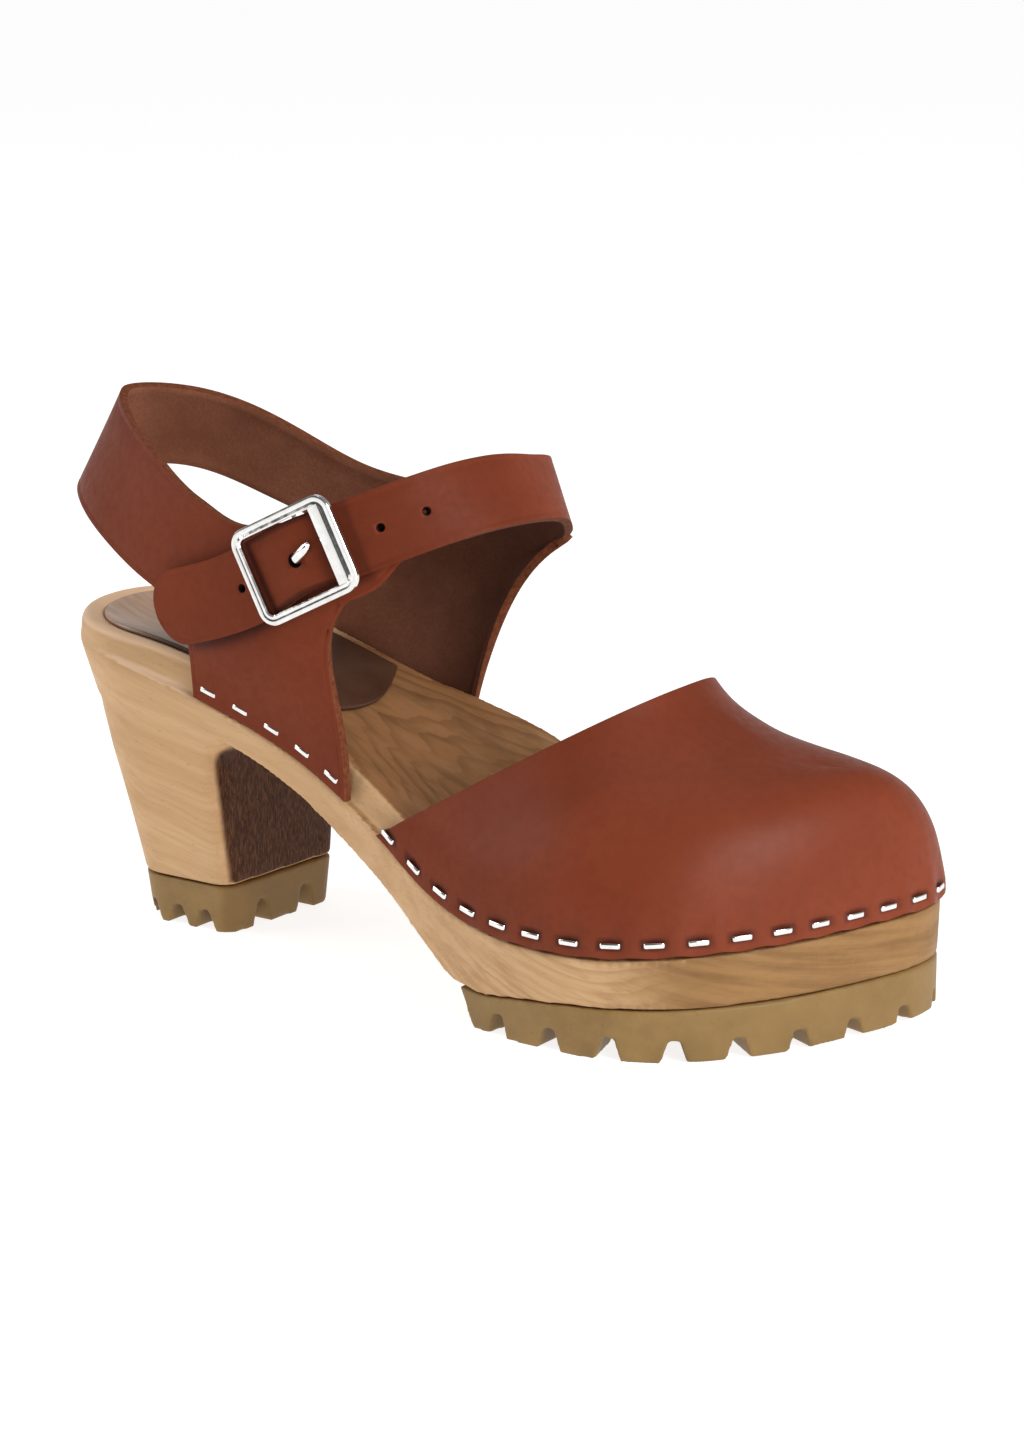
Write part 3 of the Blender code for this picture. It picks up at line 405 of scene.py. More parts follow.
def angle_at(x):
    """Return the outline's angle at a length, zero at the heel and pi at the toe."""
    return math.acos(1.0 - 2.0 * min(max(x / SOLE_LENGTH, 0.0), 1.0))


def length_at(angle):
    """Return the length along the sole at an angle of the outline."""
    return 0.5 * SOLE_LENGTH * (1.0 - math.cos(angle))


outline_x = column(OUTLINE, OUTLINE_COLUMNS, "x")
outline_angles = [angle_at(x) for x in outline_x]
outline_curves = {
    -1: spline(outline_angles, column(OUTLINE, OUTLINE_COLUMNS, "lateral")[:, None]),
    1: spline(outline_angles, column(OUTLINE, OUTLINE_COLUMNS, "medial")[:, None]),
}
profile_x = column(PROFILE, PROFILE_COLUMNS, "x")
profile = {
    name: smooth(profile_x, column(PROFILE, PROFILE_COLUMNS, name)) for name in PROFILE_COLUMNS[1:]
}


def edge(angle, side, inset=0.0):
    """Return a point of the outline, moved in along its normal."""
    y, y_slope = outline_curves[side](angle)
    x_slope = 0.5 * SOLE_LENGTH * math.sin(angle)
    normal = np.array([y_slope[0], -x_slope]) * -side
    normal = normal / np.linalg.norm(normal)
    return np.array([length_at(angle), y[0]]) - inset * normal


def outward(angle, side):
    """Return the outline's outward direction."""
    return edge(angle, side) - edge(angle, side, 1.0)


def spine(angle):
    """Return the middle line that the sole's sections run to."""
    x = min(max(length_at(angle), SPINE_BACK), SPINE_FRONT)
    at = angle_at(x)
    return 0.5 * (edge(at, -1) + edge(at, 1))


def rim_height(x, side):
    """Return the height of the rim, which rises on the inner side beside the arch."""
    height = profile["ledge"](x) + profile["rim"](x)
    return height + profile["arch"](x) if side > 0 else height


def footbed(angle, side, share, lift=0.0):
    """Return a point of the footbed, share 0 at the rim and 1 on the spine."""
    x = length_at(angle)
    rim = edge(angle, side, REBATE_TAPER * profile["rebate"](x) + profile["round"](x))
    rim_z = rim_height(x, side)
    middle = spine(angle)
    bed_z = profile["ledge"](middle[0]) + profile["rim"](middle[0]) - profile["hollow"](middle[0])
    sink = 1.0 - (1.0 - share) ** HOLLOW_POWER
    plan = rim + (middle - rim) * share
    return (plan[0], plan[1], rim_z + (bed_z - rim_z) * sink + lift)


def rubber_edge(angle, side, inset=0.0):
    """Return the edge of the wood's underside, which the rubber follows."""
    x = length_at(angle)
    lean = profile["lean"](x) * (profile["ledge"](x) - profile["under"](x))
    return edge(angle, side, lean + inset)


def ring_faces(rings, around):
    """Return quads between closed rings that follow each other."""
    faces = []
    for r in range(rings - 1):
        for i in range(around):
            j = (i + 1) % around
            faces.append((r * around + i, r * around + j, (r + 1) * around + j, (r + 1) * around + i))
    return faces


def sheet_faces(rows, columns):
    """Return quads of an open sheet of points."""
    faces = []
    for r in range(rows - 1):
        for c in range(columns - 1):
            a = r * columns + c
            faces.append((a, a + 1, a + columns + 1, a + columns))
    return faces


def add_mesh(name, points, faces, closed=True, shades=None):
    """Make a smooth mesh object from points in millimetres, merged where they meet."""
    mesh = bpy.data.meshes.new(name)
    mesh.from_pydata([place(point) for point in points], [], faces)
    if shades is not None:
        mesh.attributes.new("shade", "FLOAT", "POINT").data.foreach_set("value", shades)
    work = bmesh.new()
    work.from_mesh(mesh)
    bmesh.ops.remove_doubles(work, verts=work.verts, dist=MERGE_DISTANCE * MM)
    bmesh.ops.dissolve_degenerate(work, edges=work.edges, dist=SLIVER_LENGTH * MM)
    if closed:
        bmesh.ops.recalc_face_normals(work, faces=work.faces)
    work.to_mesh(mesh)
    work.free()
    mesh.shade_smooth()
    thing = bpy.data.objects.new(name, mesh)
    bpy.context.scene.collection.objects.link(thing)
    return thing


def add_modifier(thing, kind, **settings):
    """Add a modifier with its settings."""
    modifier = thing.modifiers.new(kind.lower(), kind)
    for name, value in settings.items():
        setattr(modifier, name, value)
    return modifier


def settle(thing, *tools):
    """Apply an object's modifiers and remove the tools that shaped it."""
    graph = bpy.context.evaluated_depsgraph_get()
    mesh = bpy.data.meshes.new_from_object(thing.evaluated_get(graph))
    thing.modifiers.clear()
    thing.data = mesh
    for tool in tools:
        bpy.data.objects.remove(tool, do_unlink=True)
    return thing


def combine(thing, tool, operation, overlapping=False):
    """Cut or join an object with a tool, which is used up."""
    add_modifier(thing, "BOOLEAN", operation=operation, solver="EXACT", use_self=overlapping, object=tool)
    return settle(thing, tool)


def soften(thing, grid, rounds):
    """Rebuild a solid on a fine even grid and ease its edges."""
    add_modifier(thing, "REMESH", mode="VOXEL", voxel_size=grid * MM, adaptivity=0.0, use_smooth_shade=True)
    add_modifier(thing, "SMOOTH", factor=0.5, iterations=rounds)
    return settle(thing)


def dress(thing, materials):
    """Give a mesh its materials, the first of them on the faces it has."""
    for material in materials:
        thing.data.materials.append(material)


def leather_sheet(thing, thickness, offset, edge_round):
    """Give a sheet its thickness: grain outside, flesh inside and rounded cut edges."""
    add_modifier(thing, "SOLIDIFY", thickness=thickness * MM, offset=offset, use_even_offset=True,
                 material_offset=1, material_offset_rim=2)
    add_modifier(thing, "BEVEL", width=edge_round * MM, segments=2, limit_method="ANGLE",
                 angle_limit=math.radians(CUT_EDGE_ANGLE), use_clamp_overlap=True)
    return thing


def finish_piece(thing, slot, materials, *nodes):
    """Dress a piece, let it ride with the shoe and stand for its nodes."""
    if not thing.data.materials:
        dress(thing, materials)
    thing.data.shade_smooth()
    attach(thing, "root")
    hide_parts(*nodes)
    return thing


class Nodes:
    """Helpers that add nodes to one tree and link them."""

    def __init__(self, tree):
        self.tree = tree

    def add(self, kind, **settings):
        node = self.tree.nodes.new(kind)
        for name, value in settings.items():
            setattr(node, name, value)
        return node

    def put(self, socket, value):
        """Link an output to a socket, or set the socket's own value."""
        if isinstance(value, bpy.types.NodeSocket):
            self.tree.links.new(value, socket)
        else:
            socket.default_value = value

    def feed(self, node, **inputs):
        for name, value in inputs.items():
            self.put(node.inputs[name.replace("_", " ")], value)
        return node

    def parts(self, vector):
        return self.feed(self.add("ShaderNodeSeparateXYZ"), Vector=vector).outputs

    def ramp(self, value, *stops):
        node = self.add("ShaderNodeValToRGB")
        while len(node.color_ramp.elements) < len(stops):
            node.color_ramp.elements.new(0.5)
        for element, (position, colour) in zip(node.color_ramp.elements, stops):
            element.position = position
            element.color = (*colour, 1.0)
        return self.feed(node, Fac=value).outputs["Color"]

    def math(self, operation, a, b):
        node = self.add("ShaderNodeMath", operation=operation)
        self.put(node.inputs[0], a)
        self.put(node.inputs[1], b)
        return node.outputs["Value"]

    def times(self, a, b):
        return self.math("MULTIPLY", a, b)

    def mix(self, share, a, b, blend="MIX"):
        node = self.add("ShaderNodeMix", data_type="RGBA", blend_type=blend)
        self.put(node.inputs[0], share)
        for socket, colour in ((node.inputs[6], a), (node.inputs[7], b)):
            self.put(socket, (*colour, 1.0) if isinstance(colour, tuple) else colour)
        return node.outputs[2]


class Surface(Nodes):
    """One procedural material, in the frame's own metres."""

    def __init__(self, name, roughness, metallic=0.0, shine=0.5):
        self.material = bpy.data.materials.new(name)
        self.material.use_nodes = True
        super().__init__(self.material.node_tree)
        self.shader = self.tree.nodes["Principled BSDF"]
        self.feed(self.shader, Roughness=roughness, Metallic=metallic, Specular_IOR_Level=shine)
        self.place = self.add("ShaderNodeTexCoord").outputs["Object"]

    def stretched(self, scale, vector=None):
        node = self.add("ShaderNodeMapping")
        return self.feed(node, Vector=vector or self.place, Scale=scale).outputs["Vector"]

    def turned(self, turn, origin):
        node = self.add("ShaderNodeMapping", vector_type="TEXTURE")
        rotation = [math.radians(angle) for angle in turn]
        return self.feed(node, Vector=self.place, Rotation=rotation, Location=origin).outputs["Vector"]

    def noise(self, scale, detail=2.0, roughness=0.5, vector=None):
        node = self.add("ShaderNodeTexNoise")
        self.feed(node, Vector=vector or self.place, Scale=scale, Detail=detail, Roughness=roughness)
        return node.outputs["Fac"]

    def streaks(self, scale, detail, roughness, vector=None):
        """Return noise with its own scale along each axis."""
        return self.noise(1.0, detail, roughness, self.stretched(scale, vector))

    def cells(self, scale):
        node = self.add("ShaderNodeTexVoronoi", feature="SMOOTH_F1")
        return self.feed(node, Vector=self.place, Scale=scale, Smoothness=0.4).outputs["Distance"]

    def span(self, value, low, high, to_low=0.0, to_high=1.0):
        """Return a value carried smoothly from one range to another."""
        node = self.add("ShaderNodeMapRange", interpolation_type="SMOOTHSTEP")
        self.feed(node, Value=value, From_Min=low, From_Max=high, To_Min=to_low, To_Max=to_high)
        return node.outputs["Result"]

    def bump(self, height, depth, strength=1.0, before=None):
        node = self.add("ShaderNodeBump")
        self.feed(node, Height=height, Distance=depth * MM, Strength=strength)
        if before is not None:
            self.feed(node, Normal=before)
        return node.outputs["Normal"]

    def painted(self, name):
        return self.add("ShaderNodeAttribute", attribute_name=name).outputs["Fac"]

    def facing(self):
        return self.parts(self.add("ShaderNodeNewGeometry").outputs["Normal"])

    def done(self, colour, normal=None, roughness=None):
        self.feed(self.shader, Base_Color=colour)
        if normal is not None:
            self.feed(self.shader, Normal=normal)
        if roughness is not None:
            self.feed(self.shader, Roughness=roughness)
        return self.material


def grain_leather():
    """Smooth oiled leather: even red-brown, fine pores, a soft gloss, darker where it is shaded."""
    s = Surface("grain_leather", 0.42, shine=0.05)
    broad = s.noise(26.0, 3.0, 0.55)
    fine = s.noise(420.0, 4.0, 0.6)
    colour = s.ramp(broad, (0.30, (0.148, 0.0290, 0.0115)), (0.52, (0.168, 0.0340, 0.0138)),
                    (0.75, (0.188, 0.0390, 0.0160)))
    colour = s.mix(s.span(fine, 0.35, 0.7, 0.0, 0.3), colour, (0.122, 0.0235, 0.0100))
    # Painted shade and shadow from the points' shades: round the staples, near the throat, beside the
    # buckle, under the strap's end and over the instep.
    colour = s.mix(s.painted("shade"), colour, (0.016, 0.005, 0.004))
    pores = s.bump(s.cells(1150.0), 0.05, 0.35)
    creases = s.bump(s.noise(330.0, 4.0, 0.6), 0.06, 0.3, pores)
    polish = s.span(s.parts(s.place)["X"], 0.005, 0.060, 0.0, 0.11)
    s.feed(s.shader, Coat_Weight=polish, Coat_Roughness=0.40)
    return s.done(colour, creases, s.span(fine, 0.2, 0.8, 0.40, 0.54))


def flesh_leather():
    """The leather's inner side: matt brown with a short nap, painted darker towards the instep as shade."""
    s = Surface("flesh_leather", 0.9, shine=0.1)
    cloud = s.noise(55.0, 4.0, 0.6)
    nap = s.noise(1500.0, 3.0, 0.7)
    colour = s.ramp(cloud, (0.3, (0.172, 0.061, 0.033)), (0.7, (0.260, 0.102, 0.058)))
    colour = s.mix(s.span(nap, 0.3, 0.75, 0.0, 0.45), colour, (0.120, 0.042, 0.023))
    # Painted shade: the inner side is darkened towards the front, over the instep, where it lies in shade.
    painted_light_mask = s.span(s.parts(s.place)["X"], -0.070, -0.010)
    colour = s.mix(painted_light_mask, colour, (0.36, 0.34, 0.34), "MULTIPLY")
    fibres = s.bump(s.noise(900.0, 4.0, 0.7), 0.22, 0.6)
    return s.done(colour, fibres)


def cut_leather():
    """The cut edge, in thin darker and lighter layers."""
    s = Surface("cut_leather", 0.74, shine=0.06)
    layers = s.noise(700.0, 3.0, 0.6)
    colour = s.ramp(layers, (0.3, (0.098, 0.026, 0.012)), (0.7, (0.185, 0.058, 0.025)))
    return s.done(colour, s.bump(layers, 0.12, 0.5))


def hole_painted_shade():
    """The inside of a punched hole, painted near black as shade."""
    s = Surface("hole_painted_shade", 0.9, shine=0.05)
    colour = s.ramp(s.noise(900.0, 3.0, 0.6), (0.3, (0.010, 0.005, 0.004)), (0.7, (0.022, 0.010, 0.007)))
    return s.done(colour)


def sock_leather():
    """Thin dark leather, slightly creased, painted pale at the back as a sheen."""
    s = Surface("sock_leather", 0.36)
    cloud = s.noise(60.0, 4.0, 0.6)
    colour = s.ramp(cloud, (0.3, (0.046, 0.018, 0.009)), (0.72, (0.076, 0.031, 0.016)))
    # Painted sheen: the back is painted pale, standing for the reflection it catches at grazing angles.
    painted_light_mask = s.span(s.parts(s.place)["X"], -0.074, -0.104, 0.0, 0.95)
    streaks = s.streaks((90.0, 520.0, 90.0), 4.0, 0.6)
    pale = s.ramp(streaks, (0.35, (0.410, 0.265, 0.180)), (0.65, (0.545, 0.370, 0.260)))
    colour = s.mix(painted_light_mask, colour, pale)
    grain = s.bump(s.cells(1000.0), 0.07, 0.5)
    creases = s.bump(s.noise(220.0, 4.0, 0.6), 0.12, 0.35, grain)
    return s.done(colour, creases, s.span(cloud, 0.3, 0.7, 0.30, 0.42))


def carved_wood():
    """Pale close-grained wood with soft rings: a darker footbed, a browner toe, a dark speckled breast."""
    s = Surface("carved_wood", 0.5, shine=0.10)
    grain = s.turned((0.0, 12.0, 4.0), (0.0, 0.012, -0.03))
    wander = s.streaks((9.0, 40.0, 40.0), 2.0, 0.5, grain)
    rings = s.add("ShaderNodeTexWave", wave_type="RINGS", rings_direction="X", wave_profile="SAW")
    s.feed(rings, Vector=s.stretched((0.22, 1.0, 1.0), grain), Scale=150.0, Distortion=16.0, Detail=3.0,
           Detail_Scale=0.3, Detail_Roughness=0.6)
    bands = s.streaks((10.0, 150.0, 150.0), 3.0, 0.55, grain)
    fibres = s.streaks((70.0, 1500.0, 1500.0), 3.0, 0.6, grain)
    flecks = s.streaks((420.0, 2600.0, 2600.0), 2.0, 0.5, grain)
    facing = s.facing()
    place = s.parts(s.place)
    forefoot = s.span(place["X"], -0.02, 0.05)
    bed = s.times(s.span(facing["Z"], 0.55, 0.9), s.span(place["X"], -0.075, -0.045))
    ring_depth = s.math("ADD", s.span(forefoot, 0.0, 1.0, 0.2, 0.6), s.times(bed, 0.5))
    ringed = s.times(s.span(wander, 0.38, 0.60), ring_depth)
    colour = s.ramp(bands, (0.34, (0.600, 0.382, 0.205)), (0.72, (0.500, 0.302, 0.150)))
    slanted = s.turned((0.0, 19.0, 4.0), (0.0, 0.0, 0.0))
    streaks = s.streaks((16.0, 420.0, 420.0), 3.0, 0.6, slanted)
    streaked = s.span(forefoot, 0.0, 1.0, 0.12, 0.55)
    colour = s.mix(s.times(s.span(streaks, 0.44, 0.70), streaked), colour, (0.380, 0.205, 0.092))
    dark_ring = s.span(rings.outputs["Fac"], 0.45, 0.92)
    colour = s.mix(s.times(dark_ring, ringed), colour, (0.400, 0.222, 0.100))
    colour = s.mix(s.span(fibres, 0.45, 0.78, 0.0, 0.28), colour, (0.390, 0.220, 0.105))
    colour = s.mix(s.span(flecks, 0.69, 0.76, 0.0, 0.55), colour, (0.170, 0.080, 0.035))
    toe = s.times(s.span(facing["X"], 0.10, 0.70, 0.0, 0.9), s.span(place["X"], 0.03, 0.07))
    layers = s.streaks((26.0, 26.0, 430.0), 3.0, 0.6, slanted)
    browner = s.mix(s.span(layers, 0.36, 0.70), (0.228, 0.120, 0.043), (0.150, 0.072, 0.024))
    colour = s.mix(toe, colour, browner)
    colour = s.mix(s.times(bed, 0.88), colour, (0.365, 0.240, 0.160), "MULTIPLY")
    arcs = s.times(s.times(dark_ring, bed), s.span(wander, 0.36, 0.58, 0.0, 0.22))
    colour = s.mix(arcs, colour, (0.085, 0.040, 0.018))
    clouds = s.streaks((60.0, 170.0, 170.0), 3.0, 0.6, slanted)
    clouded = s.times(bed, s.span(clouds, 0.45, 0.70, 0.0, 0.42))
    colour = s.mix(clouded, colour, (0.095, 0.046, 0.020))
    # Painted light: the top of the heel's rim is lightened where the straps above shade it.
    rim = s.times(s.span(facing["Z"], 0.20, 0.60, 0.0, 0.7), s.span(place["X"], -0.055, -0.075))
    colour = s.mix(rim, colour, (0.860, 0.600, 0.400))
    in_heel = s.span(place["X"], -0.035, -0.045)
    # The breast is darker end grain, and is painted darker still as shade under the arch.
    end_grain_and_shade = s.times(s.span(facing["X"], 0.72, 0.95), in_heel)
    strokes = s.streaks((300.0, 1900.0, 520.0), 3.0, 0.65)
    dark = s.ramp(strokes, (0.34, (0.024, 0.010, 0.006)), (0.5, (0.070, 0.027, 0.013)),
                  (0.68, (0.125, 0.058, 0.029)))
    colour = s.mix(end_grain_and_shade, colour, dark)
    cut = s.bump(fibres, 0.10, 0.4)
    return s.done(colour, s.bump(flecks, 0.12, 0.35, cut), s.span(bands, 0.2, 0.8, 0.42, 0.58))


def gum_rubber():
    """Translucent-looking gum rubber: olive tan, faintly mottled, moulded skin."""
    s = Surface("gum_rubber", 0.5, shine=0.3)
    cloud = s.noise(70.0, 4.0, 0.6)
    specks = s.noise(900.0, 2.0, 0.6)
    colour = s.ramp(cloud, (0.3, (0.188, 0.108, 0.033)), (0.7, (0.285, 0.170, 0.058)))
    colour = s.mix(s.span(specks, 0.62, 0.78, 0.0, 0.5), colour, (0.130, 0.078, 0.029))
    # Painted shade: faces turned towards the toe are darkened where the lights from the toe side fall
    # brightest.
    ahead = s.span(s.facing()["X"], 0.20, 0.75, 0.0, 0.45)
    colour = s.mix(ahead, colour, (0.150, 0.088, 0.024))
    skin = s.bump(s.noise(500.0, 4.0, 0.6), 0.16, 0.5)
    return s.done(colour, skin, s.span(cloud, 0.2, 0.8, 0.42, 0.6))


def bright_nickel():
    """Bright plated wire with faint wear."""
    s = Surface("bright_nickel", 0.14, metallic=1.0)
    wear = s.noise(350.0, 4.0, 0.65)
    colour = s.ramp(wear, (0.3, (0.68, 0.665, 0.64)), (0.7, (0.84, 0.83, 0.81)))
    return s.done(colour, s.bump(wear, 0.02, 0.3), s.span(wear, 0.3, 0.75, 0.06, 0.20))


def sole_section(angle, side):
    """Return one section of the wood from the spine below to the spine above."""
    x = length_at(angle)
    ledge = profile["ledge"](x)
    rim = rim_height(x, side)
    under = profile["under"](x)
    lean = profile["lean"](x) * (ledge - under)
    depth = profile["rebate"](x)
    radius = profile["round"](x)
    low = edge(angle, side, lean)
    middle = spine(angle)
    section = []
    for share in UNDERSIDE_SHARES:
        plan = low + (middle - low) * share
        section.append((plan[0], plan[1], profile["under"](plan[0])))
    for i in range(SIDE_STEPS + 1):
        inset = lean * (1.0 - i / SIDE_STEPS)
        section.append((*edge(angle, side, inset), under + (ledge - under) * i / SIDE_STEPS))
    section.append((*edge(angle, side, depth), ledge))
    for i in range(RIM_STEPS):
        turn = 0.5 * math.pi * i / RIM_STEPS
        inset = REBATE_TAPER * depth + radius * (1.0 - math.cos(turn))
        section.append((*edge(angle, side, inset), rim - radius + radius * math.sin(turn)))
    for i in range(BED_STEPS + 1):
        section.append(footbed(angle, side, i / BED_STEPS))
    return section


def heel_section(back, breast, half_width, z):
    """Return a level section of the heel: round behind, straight sides, rounded front corners."""
    points = []
    for i in range(HEEL_BACK_STEPS + 1):
        turn = math.pi * (0.5 + i / HEEL_BACK_STEPS)
        points.append((SEAT_MIDDLE_X + (SEAT_MIDDLE_X - back) * math.cos(turn),
                       half_width * math.sin(turn), z))
    for side in (-1, 1):
        for i in range(HEEL_CORNER_STEPS + 1):
            share = i / HEEL_CORNER_STEPS
            turn = 0.5 * math.pi * (share if side < 0 else 1.0 - share)
            y = side * (half_width - HEEL_CORNER + HEEL_CORNER * math.cos(turn))
            x = breast + HEEL_BREAST_SKEW * y - HEEL_CORNER + HEEL_CORNER * math.sin(turn)
            points.append((x, y, z))
    return points


def stacked(name, table):
    """Make a solid from level sections of the heel, with smooth steps between them."""
    heights = np.array([row[0] for row in table])
    curves = [smooth(heights, np.array([row[k] for row in table])) for k in (1, 2, 3)]
    levels = np.linspace(heights[0], heights[-1], HEEL_LEVELS_PER_ROW * len(table))
    points = []
    for z in levels:
        back, breast, half_width = (curve(z) for curve in curves)
        points += heel_section(back, breast, half_width, z)
    around = len(points) // len(levels)
    faces = ring_faces(len(levels), around)
    faces.append(tuple(range(around)))
    faces.append(tuple(range((len(levels) - 1) * around, len(levels) * around)))
    return add_mesh(name, points, faces)


def round_toe(start, count):
    """Return stations from an angle on the outer side round the toe to the inner side."""
    angles = [start + (math.pi - start) * i / count for i in range(count + 1)]
    return [(angle, -1) for angle in angles] + [(angle, 1) for angle in angles[-2::-1]]


def make_wood_sole(wood):
    """Carve the sole: footbed, rebate, shank and block heel in one piece."""
    stations = round_toe(0.0, 150)[:-1]
    sections = [sole_section(angle, side) for angle, side in stations]
    layers = len(sections[0])
    points = [section[layer] for layer in range(layers) for section in sections]
    sole = add_mesh("carved_sole", points, ring_faces(layers, len(stations)))
    combine(sole, stacked("heel_block_tool", HEEL), "UNION")
    soften(sole, WOOD_GRID, WOOD_EASING)
    return finish_piece(sole, "wood", [wood], "wood_sole")


def spring(x):
    """Return how far the forefoot's rubber is lifted towards the toe."""
    share = max(0.0, (x - TOE_SPRING_START) / (SOLE_LENGTH - TOE_SPRING_START))
    return TOE_SPRING * share * share


def prism(points_low, points_high):
    """Return the points and faces of a solid between two loops of the same length."""
    count = len(points_low)
    faces = ring_faces(2, count)
    faces.append(tuple(range(count)))
    faces.append(tuple(range(count, 2 * count)))
    return list(points_low) + list(points_high), faces


def join_solids(name, solids):
    """Make one mesh from the points and faces of several solids."""
    points = []
    faces = []
    for solid_points, solid_faces in solids:
        start = len(points)
        points += solid_points
        faces += [tuple(start + i for i in face) for face in solid_faces]
    return add_mesh(name, points, faces)


def notch(at, inward, length, depth=LUG_DEPTH):
    """Return a tapered notch that runs in from the side of the rubber."""
    along = np.array([-inward[1], inward[0]])
    start = TOOL_START_REACH
    loops = []
    for z, width in ((TOOL_START_Z, NOTCH_WIDTH_FLOOR), (depth, NOTCH_WIDTH_TOP)):
        corners = []
        for reach, half in ((start, 0.5), (length, 0.5), (length, -0.5), (start, -0.5)):
            plan = at + inward * reach + along * half * width
            corners.append((plan[0], plan[1], z))
        loops.append(corners)
    return prism(*loops)


def walk(start_x, end_x, pitch, run):
    """Return stations stepped along an edge, from the outer side round the toe to the inner side."""
    first = angle_at(start_x)
    last = angle_at(end_x)
    count = 400
    path = [(first + (math.pi - first) * i / count, -1) for i in range(count + 1)]
    path += [(math.pi + (last - math.pi) * i / count, 1) for i in range(1, count + 1)]
    stations = [path[0]]
    walked = 0.0
    for before, after in zip(path, path[1:]):
        walked += np.linalg.norm(run(*after) - run(*before))
        if walked >= pitch:
            stations.append(after)
            walked -= pitch
    return stations


def tread_block():
    """Make the forefoot's rubber before its lugs are cut."""
    count = 90
    points = []
    for back, on_floor in ((RUBBER_BACK_FLOOR, True), (RUBBER_BACK_TOP, False)):
        start = angle_at(back)
        for i in range(count + 1):
            angle = start + (math.pi - start) * i / count
            for side in (-1, 1):
                plan = rubber_edge(angle, side)
                z = spring(plan[0]) if on_floor else profile["under"](plan[0]) - GAP
                points.append((plan[0], plan[1], z))
    layer = 2 * (count + 1)
    faces = [(0, 1, layer + 1, layer)]
    for i in range(count):
        a = 2 * i
        b = layer + a
        faces += [(a, a + 1, a + 3, a + 2), (b, b + 1, b + 3, b + 2)]
        faces += [(a, a + 2, b + 2, b), (a + 1, a + 3, b + 3, b + 1)]
    return add_mesh("forefoot_tread", points, faces)


def lug_notches():
    """Make the tool for the notches between the lugs."""
    notches = []
    for angle, side in walk(FIRST_NOTCH_X, LAST_NOTCH_X, NOTCH_PITCH, rubber_edge):
        notches.append(notch(rubber_edge(angle, side), -outward(angle, side), LUG_NOTCH_LENGTH))
    return join_solids("lug_notch_tool", notches)


def lug_groove():
    """Make the tool for the groove inside the lugs."""
    stations = round_toe(angle_at(GROOVE_START_X), 40)
    inner = LUG_LENGTH + GROOVE_WIDTH
    corners = ((LUG_LENGTH, TOOL_START_Z), (inner, TOOL_START_Z),
               (inner, GROOVE_DEPTH), (LUG_LENGTH, GROOVE_DEPTH))
    rings = [[(*rubber_edge(angle, side, inset), z) for inset, z in corners] for angle, side in stations]
    return add_mesh("lug_groove_tool", *rod(rings))


def cross_grooves():
    """Make the tool for the grooves across the tread."""
    bars = []
    for x in CROSS_GROOVES:
        lateral = rubber_edge(angle_at(x), -1, CROSS_GROOVE_INSET)[1]
        medial = rubber_edge(angle_at(x), 1, CROSS_GROOVE_INSET)[1]
        loops = []
        for z, width in ((TOOL_START_Z, NOTCH_WIDTH_FLOOR), (CROSS_GROOVE_DEPTH, NOTCH_WIDTH_TOP)):
            back = x - 0.5 * width
            front = x + 0.5 * width
            loops.append([(back, lateral, z), (front, lateral, z), (front, medial, z), (back, medial, z)])
        bars.append(prism(*loops))
    return join_solids("cross_groove_tool", bars)


def make_forefoot_outsole(rubber):
    """Make the forefoot's rubber with side lugs, a groove inside them and cross grooves."""
    sole = tread_block()
    combine(sole, lug_notches(), "DIFFERENCE", overlapping=True)
    combine(sole, lug_groove(), "DIFFERENCE")
    combine(sole, cross_grooves(), "DIFFERENCE")
    soften(sole, RUBBER_GRID, RUBBER_EASING)
    return finish_piece(sole, "gum_rubber", [rubber], "forefoot_outsole")


def make_heel_top_piece(rubber):
    """Make the heel's rubber with lugs round its edge."""
    piece = stacked("heel_tread", HEEL_RUBBER)
    half_width = HEEL_RUBBER[0][3]
    notches = []
    for x in HEEL_SIDE_NOTCHES:
        for side in (-1.0, 1.0):
            at = np.array([x, side * half_width])
            notches.append(notch(at, np.array([0.0, -side]), HEEL_NOTCH_LENGTH))
    for y in HEEL_FRONT_NOTCHES:
        at = np.array([HEEL_RUBBER[0][2], y])
        notches.append(notch(at, np.array([-1.0, 0.0]), HEEL_NOTCH_LENGTH, HEEL_FRONT_NOTCH_DEPTH))
    combine(piece, join_solids("heel_notch_tool", notches), "DIFFERENCE")
    soften(piece, RUBBER_GRID, RUBBER_EASING)
    return finish_piece(piece, "gum_rubber", [rubber], "heel_top_piece")


def vamp_curves():
    """Return the vamp's columns as curves over its rows."""
    rows = np.arange(len(VAMP), dtype=float)
    curves = {}
    for name in VAMP_COLUMNS:
        values = column(VAMP, VAMP_COLUMNS, name)
        if name in ("lateral_x", "medial_x"):
            values = np.array([angle_at(x) for x in values])
        curves[name] = smooth(rows, values)
    return curves


vamp_at = vamp_curves()


def ledge_runs():
    """Return the distance along the ledge from the first staple as curves of the angle, by side."""
    first = angle_at(VAMP[0][0] + STAPLE_MARGIN)
    runs = {}
    start = 0.0
    for side in (-1, 1):
        angles = np.linspace(angle_at(LEDGE_RUN_START), math.pi, 600)
        points = np.array([edge(angle, side) for angle in angles])
        lengths = np.concatenate(([0.0], np.cumsum(np.linalg.norm(np.diff(points, axis=0), axis=1))))
        if side < 0:
            lengths = lengths - np.interp(first, angles, lengths)
            start = lengths[-1]
        else:
            lengths = start + lengths[-1] - lengths
        runs[side] = (angles, lengths)
    return runs


ledge_run = ledge_runs()


def between_staples(angle, side):
    """Return 0 at a staple and 1 half way to the next, and how near the toe that is."""
    run = float(np.interp(angle, *ledge_run[side]))
    between = 0.5 - 0.5 * math.cos(2.0 * math.pi * run / VAMP_STAPLE_PITCH)
    near_toe = (0.5 - 0.5 * math.cos(angle)) ** 3
    return between, near_toe


